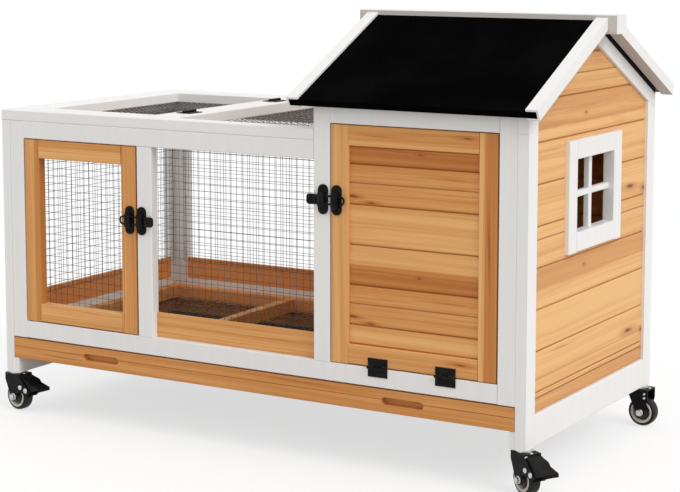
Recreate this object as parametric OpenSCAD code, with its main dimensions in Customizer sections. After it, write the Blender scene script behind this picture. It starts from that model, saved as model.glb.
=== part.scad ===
// Outdoor rabbit run with a small pitched-roof house at one end, on four swivel casters.
// Lengths in millimetres, angles in degrees. X runs along the run towards the house, Y from
// the front to the back and Z up. The origin is on the floor, below the middle of the whole
// object. Inside the modules a point is given from the front left corner of the leg feet.

/* [Body] */
// Length over the two end panels
body_l = 1020; // [980:1:1100]
// Depth over the front and back frames
body_w = 504; // [470:1:560]
// Height of the run's top face above the leg feet
run_h = 470; // [450:1:520]
// Length of the house bay, from its inner wall to the right end
house_l = 375; // [350:1:400]
// Centre of the front post between the mesh door and the fixed window
post_x = 310; // [290:1:330]
// Height of the house walls at the front and back faces
wall_h = 515.6; // [505:0.1:560]

/* [Timber] */
// Thickness of frame timber
timber_t = 18; // [16:1:20]
// Width of frame rails and posts
rail_w = 30.5; // [26:0.5:36]
// Width of the end panels' posts and of the doors' members
stile_w = 32; // [28:1:38]
// Chamfer along the edges of frame timber
timber_ease = 1.2; // [0.5:0.1:2]
// Gap left at each glued or screwed timber joint
joint_gap = 0.2; // [0.1:0.05:0.4]
// Height of the right end panel's bottom rail
end_rail_h = 49; // [40:1:60]
// Height of the kick boards behind the nets
kick_h = 41.5; // [30:0.5:60]
// Thickness of the kick boards
kick_t = 6; // [4:1:8]
// How far a kick board's face lies behind the frame's face
kick_recess = 12; // [8:1:12]

/* [Planks] */
// Height of one plank
plank_h = 64; // [50:1:80]
// Thickness of a plank
plank_t = 11; // [9:1:13]
// How far a plank's face lies behind its frame's face
plank_recess = 5; // [3:0.5:6]
// Depth of the bevel along a plank's edges
plank_bevel = 2.4; // [1:0.1:4]
// Height of a plank joint on the right end panel above the feet
gable_joint_z = 464; // [440:1:480]
// Height of a plank joint on the house door above the feet
door_joint_z = 418; // [400:1:430]

/* [Drawer] */
// Height of the drawer's front board
drawer_h = 37.5; // [30:0.5:42]
// Height of the runners above the feet
runner_h = 27.7; // [20:0.1:30]
// Width of a runner
runner_w = 10; // [8:1:14]
// Gap between the drawer and what it slides in or on
drawer_gap = 0.3; // [0.3:0.1:1]
// Gap above the drawer's front board
drawer_top_gap = 1.5; // [1:0.1:3]
// Length and height of a finger slot
slot_size = [75, 12]; // [10:1:90]
// Depth of a finger slot in the board
slot_depth = 12; // [8:0.5:14]
// Distance of the slots from the middle of the board
slot_offset = 297.5; // [250:0.5:350]
// Height of the groove along the board above its lower edge
groove_up = 21; // [8:0.5:30]
// Height of the drawer's side and back walls
drawer_wall_h = 28; // [20:1:30]
// Thickness of the drawer's walls
drawer_wall_t = 9; // [6:1:9]
// Thickness of the drawer's bottom
drawer_bottom_t = 3; // [2:0.5:4]

/* [Floor] */
// Width of a floor batten
batten_w = 18; // [14:1:24]
// Height of a floor batten
batten_h = 25; // [18:1:30]
// Thickness of the house's floor board
floor_t = 9; // [6:1:12]

/* [Nets] */
// Thickness of net wire
wire_t = 1; // [0.8:0.1:1.4]
// Mesh of the door's net
door_mesh = 13; // [12:0.1:26]
// Mesh of the front window's net, drawn coarser than the real one
front_mesh = 19; // [18:0.5:32]
// Mesh of the other nets, coarser still
net_mesh = 25.4; // [25:0.1:60]
// How far a net laps over its frame
net_lap = 8; // [4:1:12]

/* [Doors] */
// Gap round a door or lid
door_gap = 1.5; // [1:0.1:2]
// Radius of the mesh door's pivot pins
pivot_r = 2.5; // [2:0.1:3]
// Distance of the pivots from the door's outer edge
pivot_in = 8; // [7:0.5:9]
// Depth of the pivots behind the door's face
pivot_depth = 4; // [3.5:0.5:5]
// How far a pivot pin goes into each piece
pivot_l = 12; // [8:1:16]
// Radial clearance of pins in their bores
pin_clear = 0.06; // [0.02:0.01:0.1]
// Width of the lid's frame members
lid_member_w = 28; // [24:1:32]
// Height of the strips that the lid rests on
stop_h = 12; // [8:1:16]
// How far those strips reach under the lid
stop_reach = 10; // [6:1:16]

/* [Hinges] */
// Length of a butt hinge along its pin
hinge_l = 35; // [28:1:45]
// Width of one leaf from the pin
leaf_w = 15; // [12:1:18]
// Thickness of a leaf
leaf_t = 1.2; // [1:0.1:1.6]
// Outer radius of the knuckle
knuckle_r = 2.6; // [2.4:0.1:3.2]
// Radius of the hinge pin
hinge_pin_r = 1.2; // [1:0.1:1.5]
// Distance of the house door's hinges from the door's middle
door_hinge_offset = 60; // [40:1:110]
// Distance of the lid's hinges from the front and back faces
lid_hinge_in = 100; // [80:1:160]

/* [Latches] */
// Width of a latch plate
latch_w = 18; // [16:1:20]
// Height of a latch plate
latch_h = 48; // [40:1:56]
// Thickness of a latch plate
latch_t = 3; // [2:0.5:4]
// Radius of the loop's bar
loop_r = 1.6; // [1.2:0.1:2]
// Half the distance between the loop's two bars
loop_half = 6.5; // [5:0.5:8]
// Distance of the bars in front of the timber
loop_out = 6.2; // [5.5:0.1:8]
// Distance between the middles of the two plates
latch_pitch = 25; // [22:0.5:28]
// Height of the mesh door's latch above the feet
latch_a_z = 295.5; // [200:0.5:340]
// Height of the house door's latch above the feet
latch_b_z = 359; // [250:1:400]
// How far the loop's round end passes the frame plate's middle
loop_end = 43; // [40:1:48]
// How far the loop's pull tab stands beyond the frame plate's middle
tab_end = 27; // [24:0.5:30]
// Length, height and thickness of the pull tab
tab_size = [17.5, 17, 4.8]; // [4:0.1:20]

/* [Window] */
// Outer width and height of the window's frame
window_size = [209, 177.5]; // [150:0.5:230]
// Width of the window frame's members
window_member = 30.7; // [24:0.1:34]
// Distance of the window's middle from the front face
window_y = 249.5; // [200:0.5:300]
// Height of the window's middle above the feet
window_z = 368.3; // [330:0.1:390]
// How far the window frame stands out past the end panel's face
window_proud = 2.5; // [0:0.5:4]
// Widths of the upright and the level bar
bar_w = [11.5, 10]; // [8:0.5:16]
// Thickness of the bars
bar_t = 10; // [6:1:10]
// How far the bars lie behind the window frame's face
bar_recess = 10.4; // [4:0.1:10.5]

/* [Roof] */
// Slope of the roof
roof_slope = 26; // [20:0.5:32]
// Thickness of a roof board
board_t = 9; // [8:1:12]
// Thickness of the roofing felt
felt_t = 2; // [1.5:0.1:3]
// Gap between a roof piece and what carries it
roof_gap = 0.3; // [0.2:0.05:0.5]
// How far a board runs down past the wall, along the slope
eave_run = 18; // [12:1:30]
// How far the roof runs out past the house's inner wall
verge_l = 35.5; // [25:0.5:45]
// How far the roof runs out past the right end panel
verge_r = 25; // [24:0.5:40]
// Width of an edge channel's flanges
channel_w = 20.5; // [14:0.5:22]
// Thickness of an edge channel
channel_t = 3.5; // [2:0.5:4]
// Width and height of the ridge beam
ridge_size = [40, 30]; // [24:1:50]
// Height of the ridge beam's top above the feet
ridge_z = 650; // [645:1:700]
// How far the ridge beam stands out past each edge channel
ridge_out = 15; // [8:1:25]

/* [House doorway] */
// Width of the doorway in the inner wall
doorway_w = 150; // [120:1:180]
// Height of the doorway at its crown
doorway_h = 210; // [180:1:240]
// Distance of the doorway's middle from the front face
doorway_y = 340; // [300:1:350]

/* [Casters] */
// Wheel radius
wheel_r = 25; // [22:0.5:28]
// Wheel width
wheel_w = 20; // [16:0.5:22]
// Radius of the wheel's hub
hub_r = 19.5; // [16:0.5:20]
// Height of a whole caster
caster_h = 70; // [66:0.5:80]
// Trail of the wheel behind the swivel
caster_trail = 6; // [4:0.5:10]
// Radius of the fork's round crown
crown_r = 22; // [18:0.5:24]
// Outer width of the fork
fork_w = 32; // [28:0.5:34]
// Sheet thickness of the fork and pedal
sheet_t = 2; // [1.5:0.1:2]
// Radius of the stem in the leg
stem_r = 4; // [3:0.1:4.5]
// Length of the stem inside the leg
stem_l = 32; // [20:1:45]
// Radius of the axle
axle_r = 3; // [2.5:0.1:3.5]
// Distance of a stem from the front or back face
stem_y = 18; // [16:1:24]
// Reach of the brake pedal from the stem
pedal_reach = 69; // [60:1:72]
// Turn of each caster at rest: front left, front right, back left, back right
caster_yaw = [-8, -30, -15, -3]; // [-40:1:40]

/* [Hidden] */

$fn = 16;
large_fn = 28;
white = [0.85, 0.85, 0.84];
pine = [0.80, 0.58, 0.34];
dark_brown = [0.25, 0.14, 0.08];
black = [0.08, 0.08, 0.08];
felt_black = [0.04, 0.04, 0.04];
steel = [0.7, 0.7, 0.72];
cream = [0.75, 0.72, 0.64];

// Planes of the body
in_l = timber_t;
in_r = body_l - timber_t;
in_back = body_w - timber_t;
house_x = body_l - house_l;
mid_y = body_w / 2;
top_t = timber_t;
top_z = run_h - top_t;
open_top = top_z - rail_w + joint_gap;
drawer_z = runner_h + drawer_gap;
rail_z = drawer_z + drawer_h + drawer_top_gap;
open_z = rail_z + rail_w;
house_open_top = wall_h - 35;
post_l = post_x - rail_w / 2;
post_r = post_x + rail_w / 2;
house_post_r = house_x + rail_w;
right_post_l = in_r - rail_w;
left_post_r = in_l + rail_w;
net_t = 2 * wire_t + joint_gap / 2;

// Roof
function wall_line(y) = wall_h + min(y, body_w - y) * tan(roof_slope);
function up(thickness) = thickness / cos(roof_slope);
roof_l = house_x - verge_l;
roof_r = body_l + verge_r;
ridge_x0 = roof_l - ridge_out;
ridge_x1 = roof_r + ridge_out;
ridge_y0 = mid_y - ridge_size[0] / 2;
ridge_bottom = ridge_z - ridge_size[1];
felt_top = roof_gap + board_t + felt_t;
channel_top = felt_top + roof_gap + channel_t;
eave_end = eave_run + felt_t;

// Casters
stem_x = timber_t / 2;
stems = [[stem_x, stem_y], [body_l - stem_x, stem_y], [stem_x, body_w - stem_y],
    [body_l - stem_x, body_w - stem_y]];
axle_z = wheel_r - caster_h;
fork_in = fork_w / 2 - sheet_t;
race_t = 4;
crown_z = -race_t - joint_gap;
crown_end = 20;
pedal_w = 2 * fork_in - 0.6;
pedal_pin = [38, -29.7];
pedal_pin_r = 2;
pedal_swing = 14;

// Box round the whole object, and the shift that puts its bottom centre at the origin
tip_front_right = [pedal_reach * cos(caster_yaw[1]) + pedal_w / 2 * abs(sin(caster_yaw[1])),
    pedal_reach * sin(caster_yaw[1]) - pedal_w / 2 * cos(caster_yaw[1])];
roof_out = eave_end * cos(roof_slope) + channel_top * sin(roof_slope);
box_x0 = stem_x - crown_r;
box_x1 = max(ridge_x1, stems[1][0] + tip_front_right[0]);
box_y0 = min(-roof_out, stem_y + tip_front_right[1]);
box_y1 = body_w + roof_out;
origin = [(box_x0 + box_x1) / 2, (box_y0 + box_y1) / 2, -caster_h];

module placed() {
    translate(-origin) children();
}

// ---- Timber -------------------------------------------------------------------------

// Section of a piece of timber with chamfered edges
module timber_section(size, ease) {
    w = size[0];
    h = size[1];
    polygon([[ease, 0], [w - ease, 0], [w, ease], [w, h - ease],
        [w - ease, h], [ease, h], [0, h - ease], [0, ease]]);
}

// A piece of timber from corner a to corner b whose grain runs along one axis
module timber(a, b, grain, ease = timber_ease) {
    s = b - a;
    translate(a) {
        if (grain == "x")
            rotate([90, 0, 90])
                linear_extrude(s[0]) timber_section([s[1], s[2]], ease);
        if (grain == "y")
            translate([0, 0, s[2]])
                rotate([-90, 0, 0])
                    linear_extrude(s[1]) timber_section([s[0], s[2]], ease);
        if (grain == "z")
            linear_extrude(s[2]) timber_section([s[0], s[1]], ease);
    }
}

// A flat outline of (y, z) points, extruded along X from x0 to x1
module side_cut(points, x0, x1) {
    translate([x0, 0, 0])
        rotate([90, 0, 90])
            linear_extrude(x1 - x0) polygon(points);
}

// Planks one above another in the box a to b, laid across Y or X, with beveled outer edges.
// face is the box's side that shows: "+x" or "-y". cuts are the joints' heights.
module plank_stack(a, b, face, cuts) {
    levels = concat([a[2]], [for (z = cuts) if (z > a[2] + 4 && z < b[2] - 4) z], [b[2]]);
    for (i = [0 : len(levels) - 2])
        plank([a[0], a[1], levels[i] + joint_gap / 2],
            [b[0], b[1], levels[i + 1] - joint_gap / 2], face);
}

module plank(a, b, face) {
    s = b - a;
    v = plank_bevel;
    if (face == "+x")
        translate([a[0], b[1], a[2]])
            rotate([90, 0, 0])
                linear_extrude(s[1])
                    polygon([[0, 0], [s[0] - v, 0], [s[0], v], [s[0], s[2] - v], [s[0] - v, s[2]], [0, s[2]]]);
    if (face == "-y")
        translate(a)
            rotate([90, 0, 90])
                linear_extrude(s[0])
                    polygon([[v, 0], [s[1], 0], [s[1], s[2]], [v, s[2]], [0, s[2] - v], [0, v]]);
    if (face == "-x")
        translate([a[0], b[1], a[2]])
            rotate([90, 0, 0])
                linear_extrude(s[1])
                    polygon([[v, 0], [s[0], 0], [s[0], s[2]], [v, s[2]], [0, s[2] - v], [0, v]]);
}

function joints_from(z0, pitch) = [for (k = [-8 : 8]) z0 + k * pitch];

// A welded net of square mesh, w by h, lying flat: wires along one way over wires across it
module net(w, h, mesh) {
    nx = floor((w - wire_t) / mesh);
    ny = floor((h - wire_t) / mesh);
    for (i = [0 : nx])
        translate([i * (w - wire_t) / nx, 0, 0]) cube([wire_t, h, wire_t]);
    for (j = [0 : ny])
        translate([0, j * (h - wire_t) / ny, net_t - wire_t]) cube([w, wire_t, wire_t]);
}

// A net standing across X (facing the front) at depth y
module net_xz(x0, x1, y, z0, z1, mesh) {
    translate([x0, y + net_t, z0])
        rotate([90, 0, 0]) net(x1 - x0, z1 - z0, mesh);
}

// A net standing across Y (facing the side) at x
module net_yz(x, y0, y1, z0, z1, mesh) {
    translate([x, y0, z0])
        rotate([90, 0, 90]) net(y1 - y0, z1 - z0, mesh);
}

module net_xy(x0, x1, y0, y1, z, mesh) {
    translate([x0, y0, z]) net(x1 - x0, y1 - y0, mesh);
}

// ---- End panels ---------------------------------------------------------------------

// Bores in the legs for two caster stems
module stem_bores(side) {
    for (i = [side, side + 2])
        translate([stems[i][0], stems[i][1], -1])
            cylinder(r = stem_r + pin_clear, h = stem_l + 1 + joint_gap);
}

module left_end_frame() {
    placed() color(white)
        difference() {
            union() {
                timber([0, 0, 0], [timber_t, stile_w, top_z - joint_gap], "z");
                timber([0, body_w - stile_w, 0], [timber_t, body_w, top_z - joint_gap], "z");
                timber([0, stile_w + joint_gap, 0], [timber_t, body_w - stile_w - joint_gap, open_z], "y");
                timber([0, stile_w + joint_gap, open_top], [timber_t, body_w - stile_w - joint_gap, top_z - joint_gap], "y");
            }
            stem_bores(0);
        }
}

gable_rail = up(rail_w + 0.5);
gable_in = [timber_t - plank_recess - plank_t, timber_t - plank_recess];

// Gable rail from depth y0 up to the notch under the ridge beam, in the front half
module gable_rail_half(x0, x1, y0) {
    notch_y = ridge_y0 - joint_gap;
    notch_z = ridge_bottom - joint_gap;
    side_cut([[y0, wall_line(y0) - gable_rail], [y0, wall_line(y0)], [notch_y, wall_line(notch_y)],
        [notch_y, notch_z], [mid_y - joint_gap / 2, notch_z],
        [mid_y - joint_gap / 2, wall_line(mid_y) - gable_rail - 2 * joint_gap]], x0, x1);
}

// A post under a gable rail, with its head cut to the slope
module gable_post(x0, x1, y0, y1, z0) {
    side_cut([[y0, z0], [y1, z0], [y1, wall_line(y1) - gable_rail - 2 * joint_gap],
        [y0, wall_line(y0) - gable_rail - 2 * joint_gap]], x0, x1);
}

module mirrored_y() {
    children();
    translate([0, body_w, 0]) mirror([0, 1, 0]) children();
}

module right_end_frame() {
    placed() color(white)
        difference() {
            union() {
                mirrored_y() {
                    gable_post(in_r, body_l, 0, stile_w, 0);
                    gable_rail_half(in_r, body_l, 0);
                }
                timber([in_r, stile_w + joint_gap, 0],
                    [body_l, body_w - stile_w - joint_gap, end_rail_h], "y");
            }
            stem_bores(1);
        }
}

// Outline of the space that planks fill between the posts and under the gable rails
module gable_field(y0, z0, x0, x1) {
    low = gable_rail + 3 * joint_gap;
    side_cut([[y0, z0], [body_w - y0, z0], [body_w - y0, wall_line(y0) - low],
        [mid_y, wall_line(mid_y) - low], [y0, wall_line(y0) - low]], x0, x1);
}

module window_hole(extra) {
    w = window_size[0] + 2 * extra;
    h = window_size[1] + 2 * extra;
    translate([in_r - 1, window_y - w / 2, window_z - h / 2]) cube([timber_t + 2, w, h]);
}

module right_end_planks() {
    y0 = stile_w + joint_gap;
    z0 = end_rail_h + joint_gap;
    placed() color(pine)
        difference() {
            intersection() {
                plank_stack([in_r + gable_in[0], y0, z0], [in_r + gable_in[1], body_w - y0, wall_line(mid_y)],
                    "+x", joints_from(gable_joint_z, plank_h));
                gable_field(y0, z0, in_r, body_l);
            }
            window_hole(joint_gap);
        }
}

module window_frame() {
    y0 = window_y - window_size[0] / 2;
    y1 = window_y + window_size[0] / 2;
    z0 = window_z - window_size[1] / 2;
    z1 = window_z + window_size[1] / 2;
    m = window_member;
    x1 = body_l + window_proud;
    placed() color(white) {
        timber([in_r, y0, z0], [x1, y0 + m, z1], "z");
        timber([in_r, y1 - m, z0], [x1, y1, z1], "z");
        timber([in_r, y0 + m + joint_gap, z0], [x1, y1 - m - joint_gap, z0 + m], "y");
        timber([in_r, y0 + m + joint_gap, z1 - m], [x1, y1 - m - joint_gap, z1], "y");
    }
}

module window_bars() {
    x1 = body_l + window_proud - bar_recess;
    x0 = x1 - bar_t;
    half_y = window_size[0] / 2 - window_member - joint_gap;
    half_z = window_size[1] / 2 - window_member - joint_gap;
    placed() color(white) {
        timber([x0, window_y - bar_w[0] / 2, window_z - half_z],
            [x1, window_y + bar_w[0] / 2, window_z + half_z], "z");
        for (side = [0, 1]) {
            from = side == 0 ? window_y - half_y : window_y + bar_w[0] / 2 + joint_gap;
            timber([x0, from, window_z - bar_w[1] / 2],
                [x1, from + half_y - bar_w[0] / 2 - joint_gap, window_z + bar_w[1] / 2], "y");
        }
    }
}

// ---- Front and back frames ----------------------------------------------------------

// The long frame of posts and rails whose front face is at depth y, without the middle post
module long_frame(y) {
    y1 = y + timber_t;
    g = joint_gap;
    timber([in_l + g, y, rail_z], [left_post_r, y1, top_z - g], "z");
    timber([left_post_r + g, y, rail_z], [right_post_l - g, y1, open_z], "x");
    timber([left_post_r + g, y, open_top], [house_x - g, y1, top_z - g], "x");
    timber([house_x, y, open_z + g], [house_post_r, y1, wall_h - g], "z");
    timber([house_post_r + g, y, house_open_top], [right_post_l - g, y1, wall_h - g], "x");
    timber([right_post_l, y, rail_z], [in_r - g, y1, wall_h - g], "z");
}

pivot_x = left_post_r + door_gap + pivot_in;

module pivot_bores(clear) {
    for (z = [open_z, open_top])
        translate([pivot_x, pivot_depth, z - pivot_l - door_gap])
            cylinder(r = pivot_r + clear, h = 2 * (pivot_l + door_gap));
}

module front_frame() {
    placed() color(white)
        difference() {
            union() {
                long_frame(0);
                timber([post_l, 0, open_z + joint_gap], [post_r, timber_t, open_top - joint_gap], "z");
            }
            pivot_bores(pin_clear);
        }
}

module back_frame() {
    placed() color(white) long_frame(in_back);
}

module house_back_planks() {
    placed() color(pine)
        plank_stack([house_post_r + joint_gap, in_back + 2, open_z + joint_gap],
            [right_post_l - joint_gap, in_back + 2 + plank_t, house_open_top - joint_gap],
            "-y", joints_from(door_joint_z, plank_h));
}

module kick_boards() {
    z0 = open_z + joint_gap;
    z1 = open_z + kick_h;
    g = joint_gap;
    placed() color(pine) {
        timber([post_r + g, kick_recess, z0], [house_x - g, kick_recess + kick_t, z1], "x", 0.6);
        timber([left_post_r + g, in_back, z0], [house_x - g, in_back + kick_t, z1], "x", 0.6);
        timber([timber_t - kick_t, stile_w + g, z0], [timber_t, body_w - stile_w - g, z1], "y", 0.6);
    }
}

// Nets stapled inside the left end, front, back, fixed top and floor frames
module fixed_nets() {
    lap = net_lap;
    z0 = open_z + kick_h - lap;
    z1 = open_top + lap;
    inside = joint_gap;
    placed() color(steel) {
        net_yz(in_l + inside, stile_w - lap, body_w - stile_w + lap, z0, z1, net_mesh);
        net_xz(post_r - lap, house_x + lap, timber_t + inside, z0, z1, front_mesh);
        net_xz(left_post_r - lap, house_x + lap, in_back - inside - net_t, z0, z1, net_mesh);
        net_xy(bar_x1 - lap, top_end_x + lap, rail_w - lap, body_w - rail_w + lap,
            top_z - joint_gap - net_t, net_mesh);
        for (bay = floor_bays)
            net_xy(bay[0] - lap, bay[1] + lap, in_l + batten_w - lap, in_back - batten_w + lap,
                floor_z - joint_gap - net_t, net_mesh);
    }
}

// ---- House inner wall ---------------------------------------------------------------

inner_y0 = timber_t + net_t + 2 * joint_gap;
inner_y1 = inner_y0 + rail_w;

module inner_wall_frame() {
    x1 = house_x + timber_t;
    y0 = inner_y0;
    y1 = inner_y1;
    z0 = open_z + joint_gap;
    placed() color(white) {
        mirrored_y() {
            gable_post(house_x, x1, y0, y1, z0);
            gable_rail_half(house_x, x1, y0);
        }
        timber([house_x, y1 + joint_gap, z0], [x1, body_w - y1 - joint_gap, open_z + rail_w], "y");
    }
}

module doorway_hole() {
    r = doorway_w / 2;
    translate([house_x - 1, doorway_y, open_z + rail_w])
        rotate([90, 0, 90])
            linear_extrude(timber_t + 2) {
                translate([-r, -1]) square([doorway_w, doorway_h - r + 1]);
                translate([0, doorway_h - r]) circle(r = r, $fn = 2 * large_fn);
            }
}

module inner_wall_planks() {
    y0 = inner_y1 + joint_gap;
    z0 = open_z + rail_w + joint_gap;
    placed() color(pine)
        difference() {
            intersection() {
                plank_stack([house_x + plank_recess, y0, z0],
                    [house_x + plank_recess + plank_t, body_w - y0, wall_line(mid_y)],
                    "-x", joints_from(gable_joint_z, plank_h));
                gable_field(y0, z0, house_x, house_x + timber_t);
            }
            doorway_hole();
        }
}

// ---- Top, lid and their strips ------------------------------------------------------

lid_x0 = rail_w + door_gap;
bar_x0 = post_r - 3.5;
bar_x1 = bar_x0 + rail_w;
lid_x1 = bar_x0 - door_gap;
lid_y0 = rail_w + door_gap;
lid_y1 = body_w - lid_y0;
top_end_x = house_x - joint_gap - rail_w;

module top_frame() {
    g = joint_gap;
    z0 = top_z;
    placed() color(white) {
        mirrored_y()
            timber([0, 0, z0], [house_x - g, rail_w, run_h], "x");
        for (x = [0, bar_x0, top_end_x])
            timber([x, rail_w + g, z0], [x + rail_w, body_w - rail_w - g, run_h], "y");
    }
}

module lid_frame() {
    m = lid_member_w;
    g = joint_gap;
    placed() color(white) {
        for (x = [lid_x0, lid_x1 - m])
            timber([x, lid_y0, top_z + g], [x + m, lid_y1, run_h], "y");
        for (y = [lid_y0, lid_y1 - m])
            timber([lid_x0 + m + g, y, top_z + g], [lid_x1 - m - g, y + m, run_h], "x");
    }
}

module lid_net() {
    in = lid_member_w - net_lap;
    placed() color(steel)
        net_xy(lid_x0 + in, lid_x1 - in, lid_y0 + in, lid_y1 - in, top_z - net_t, net_mesh);
}

// White strips: lid stops along three sides of the lid, and the two drawer runners
module support_strips() {
    g = joint_gap;
    reach = rail_w + door_gap + stop_reach;
    z0 = top_z - g - stop_h;
    placed() color(white) {
        mirrored_y()
            timber([left_post_r + g, inner_y0, z0], [post_l, reach, top_z - g], "x", 0.6);
        timber([inner_y0, reach + g, z0], [reach, body_w - reach - g, top_z - g], "y", 0.6);
        for (x = [in_l + g, in_r - g - runner_w])
            timber([x, 1, 0], [x + runner_w, body_w - 1, runner_h], "y", 0.8);
    }
}

// ---- Floor --------------------------------------------------------------------------

floor_z = drawer_z + drawer_wall_h + net_t + 4 * joint_gap;
floor_top = floor_z + batten_h;
cross_x = post_l - 0.5;
floor_l = in_l + joint_gap;
floor_bays = [[floor_l + batten_w, cross_x], [cross_x + batten_w, house_x]];

module floor_frame() {
    g = joint_gap;
    placed() color(pine) {
        mirrored_y()
            timber([floor_l, timber_t + g, floor_z], [in_r - g, timber_t + g + batten_w, floor_top], "x");
        for (x = [floor_l, cross_x, house_x, in_r - g - batten_w])
            timber([x, timber_t + 2 * g + batten_w, floor_z],
                [x + batten_w, in_back - 2 * g - batten_w, floor_top], "y");
    }
}

module house_floor() {
    placed() color(pine)
        timber([house_x + joint_gap, timber_t + joint_gap, floor_top + joint_gap],
            [in_r - joint_gap, in_back - joint_gap, floor_top + joint_gap + floor_t], "x", 0.5);
}

// ---- Roof ---------------------------------------------------------------------------

// A point of the front slope: run measured up the slope from the wall's face, rise square to it
function slope_point(run, rise) = [run * cos(roof_slope) - rise * sin(roof_slope),
    wall_h + run * sin(roof_slope) + rise * cos(roof_slope)];

// The point where a layer at this rise meets the upright plane y
function plumb_point(y, rise) = [y, wall_h + y * tan(roof_slope) + up(rise)];

// A layer of the front slope between two rises, from the eave to the ridge beam's side
module slope_layer(run, low, high, x0, x1) {
    y1 = ridge_y0 - roof_gap;
    side_cut([slope_point(-run, low), plumb_point(y1, low), plumb_point(y1, high),
        slope_point(-run, high)], x0, x1);
}

module roof_boards() {
    placed() color(pine)
        mirrored_y()
            slope_layer(eave_run, roof_gap, roof_gap + board_t,
                roof_l + channel_t + roof_gap, roof_r - channel_t - roof_gap);
}

// Felt over each board, folded down over its eave edge
module roof_felts() {
    y1 = ridge_y0 - roof_gap;
    skin = 0.05;
    low = roof_gap + board_t + skin;
    placed() color(felt_black)
        mirrored_y()
            side_cut([slope_point(-eave_end, roof_gap), slope_point(-eave_run - skin, roof_gap),
                slope_point(-eave_run - skin, low), plumb_point(y1, low), plumb_point(y1, felt_top),
                slope_point(-eave_end, felt_top)],
                roof_l + channel_t + roof_gap, roof_r - channel_t - roof_gap);
}

// A channel of three walls round a roof edge; x_edge is its outer face, inward is +1 or -1
module edge_channel(x_edge, inward) {
    web = [x_edge, x_edge + inward * channel_t];
    flange = [x_edge, x_edge + inward * channel_w];
    slope_layer(eave_end, -channel_t, channel_top, min(web), max(web));
    slope_layer(eave_end, -channel_t, 0, min(flange), max(flange));
    slope_layer(eave_end, channel_top - channel_t, channel_top, min(flange), max(flange));
}

module roof_edge_channels() {
    placed() color(white)
        mirrored_y() {
            edge_channel(roof_l, 1);
            edge_channel(roof_r, -1);
        }
}

module ridge_beam() {
    placed() color(white)
        timber([ridge_x0, ridge_y0, ridge_bottom], [ridge_x1, ridge_y0 + ridge_size[0], ridge_z], "x");
}

// ---- Butt hinges --------------------------------------------------------------------

// One leaf, pin along X at the origin, leaf lying behind it towards +Z on the plane y = knuckle_r.
// part 0 has the middle knuckle and part 1 the two outer ones and the pin.
module hinge_leaf(part) {
    third = hinge_l / 3;
    gap = 0.25;
    spans = part == 0 ? [[third + gap, 2 * third - gap]]
        : [[0, third - gap], [2 * third + gap, hinge_l]];
    leaf_y = knuckle_r - leaf_t;
    translate([-hinge_l / 2, 0, 0]) {
        difference() {
            union() {
                translate([0, leaf_y, knuckle_r + gap]) cube([hinge_l, leaf_t, leaf_w - knuckle_r - gap]);
                for (s = spans) {
                    translate([s[0], leaf_y, 0]) cube([s[1] - s[0], leaf_t, leaf_w / 2]);
                    translate([s[0], 0, 0]) rotate([0, 90, 0]) cylinder(r = knuckle_r, h = s[1] - s[0]);
                }
            }
            if (part == 0)
                translate([-1, 0, 0])
                    rotate([0, 90, 0]) cylinder(r = hinge_pin_r + pin_clear, h = hinge_l + 2);
        }
        if (part == 1)
            rotate([0, 90, 0]) cylinder(r = hinge_pin_r, h = hinge_l);
    }
}

door_mid_x = (house_post_r + right_post_l) / 2;
door_hinge_y = -knuckle_r - joint_gap / 2;
door_hinge_z = open_z + door_gap / 2;
lid_hinge_x = (lid_x1 + bar_x0) / 2;
lid_hinge_z = run_h + knuckle_r + joint_gap / 2;

module at_door_hinges() {
    for (side = [-1, 1])
        translate([door_mid_x + side * door_hinge_offset, door_hinge_y, door_hinge_z]) children();
}

// Hinges of the lid lie on the top face with their pins along Y
module at_lid_hinges() {
    for (y = [lid_hinge_in + hinge_l / 2, body_w - lid_hinge_in - hinge_l / 2])
        translate([lid_hinge_x, y, lid_hinge_z]) rotate([-90, 0, 90]) children();
}

module lower_leaf(part) {
    mirror([0, 0, 1]) hinge_leaf(part);
}

module frame_hinge_parts() {
    placed() color(black) {
        at_door_hinges() lower_leaf(1);
        at_lid_hinges() lower_leaf(1);
        intersection() {
            pivot_bores(0);
            translate([0, -1, 0]) cube([body_l, timber_t, run_h]);
        }
    }
}

module house_door_hinge_leaves() {
    placed() color(black) at_door_hinges() hinge_leaf(0);
}

module lid_hinge_leaves() {
    placed() color(black) at_lid_hinges() hinge_leaf(0);
}

// ---- Mesh door ----------------------------------------------------------------------

mesh_door = [[left_post_r + door_gap, open_z + door_gap], [post_l - door_gap, open_top - door_gap]];

module mesh_door_stiles() {
    a = mesh_door[0];
    b = mesh_door[1];
    placed() color(pine)
        difference() {
            for (x = [a[0], b[0] - stile_w])
                timber([x, 0, a[1]], [x + stile_w, timber_t, b[1]], "z");
            pivot_bores(pin_clear);
        }
}

module mesh_door_rails() {
    a = mesh_door[0];
    b = mesh_door[1];
    g = joint_gap;
    placed() color(pine)
        for (z = [a[1], b[1] - stile_w])
            timber([a[0] + stile_w + g, 0, z], [b[0] - stile_w - g, timber_t, z + stile_w], "x");
}

module mesh_door_net() {
    in = stile_w - net_lap;
    a = mesh_door[0];
    b = mesh_door[1];
    placed() color(steel)
        net_xz(a[0] + in, b[0] - in, timber_t + joint_gap / 2, a[1] + in, b[1] - in, door_mesh);
}

// ---- House door ---------------------------------------------------------------------

house_door = [[house_post_r + door_gap, open_z + door_gap],
    [right_post_l - door_gap, house_open_top - door_gap]];

module house_door_stiles() {
    a = house_door[0];
    b = house_door[1];
    placed() color(pine)
        for (x = [a[0], b[0] - stile_w])
            timber([x, 0, a[1]], [x + stile_w, timber_t, b[1]], "z");
}

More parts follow.
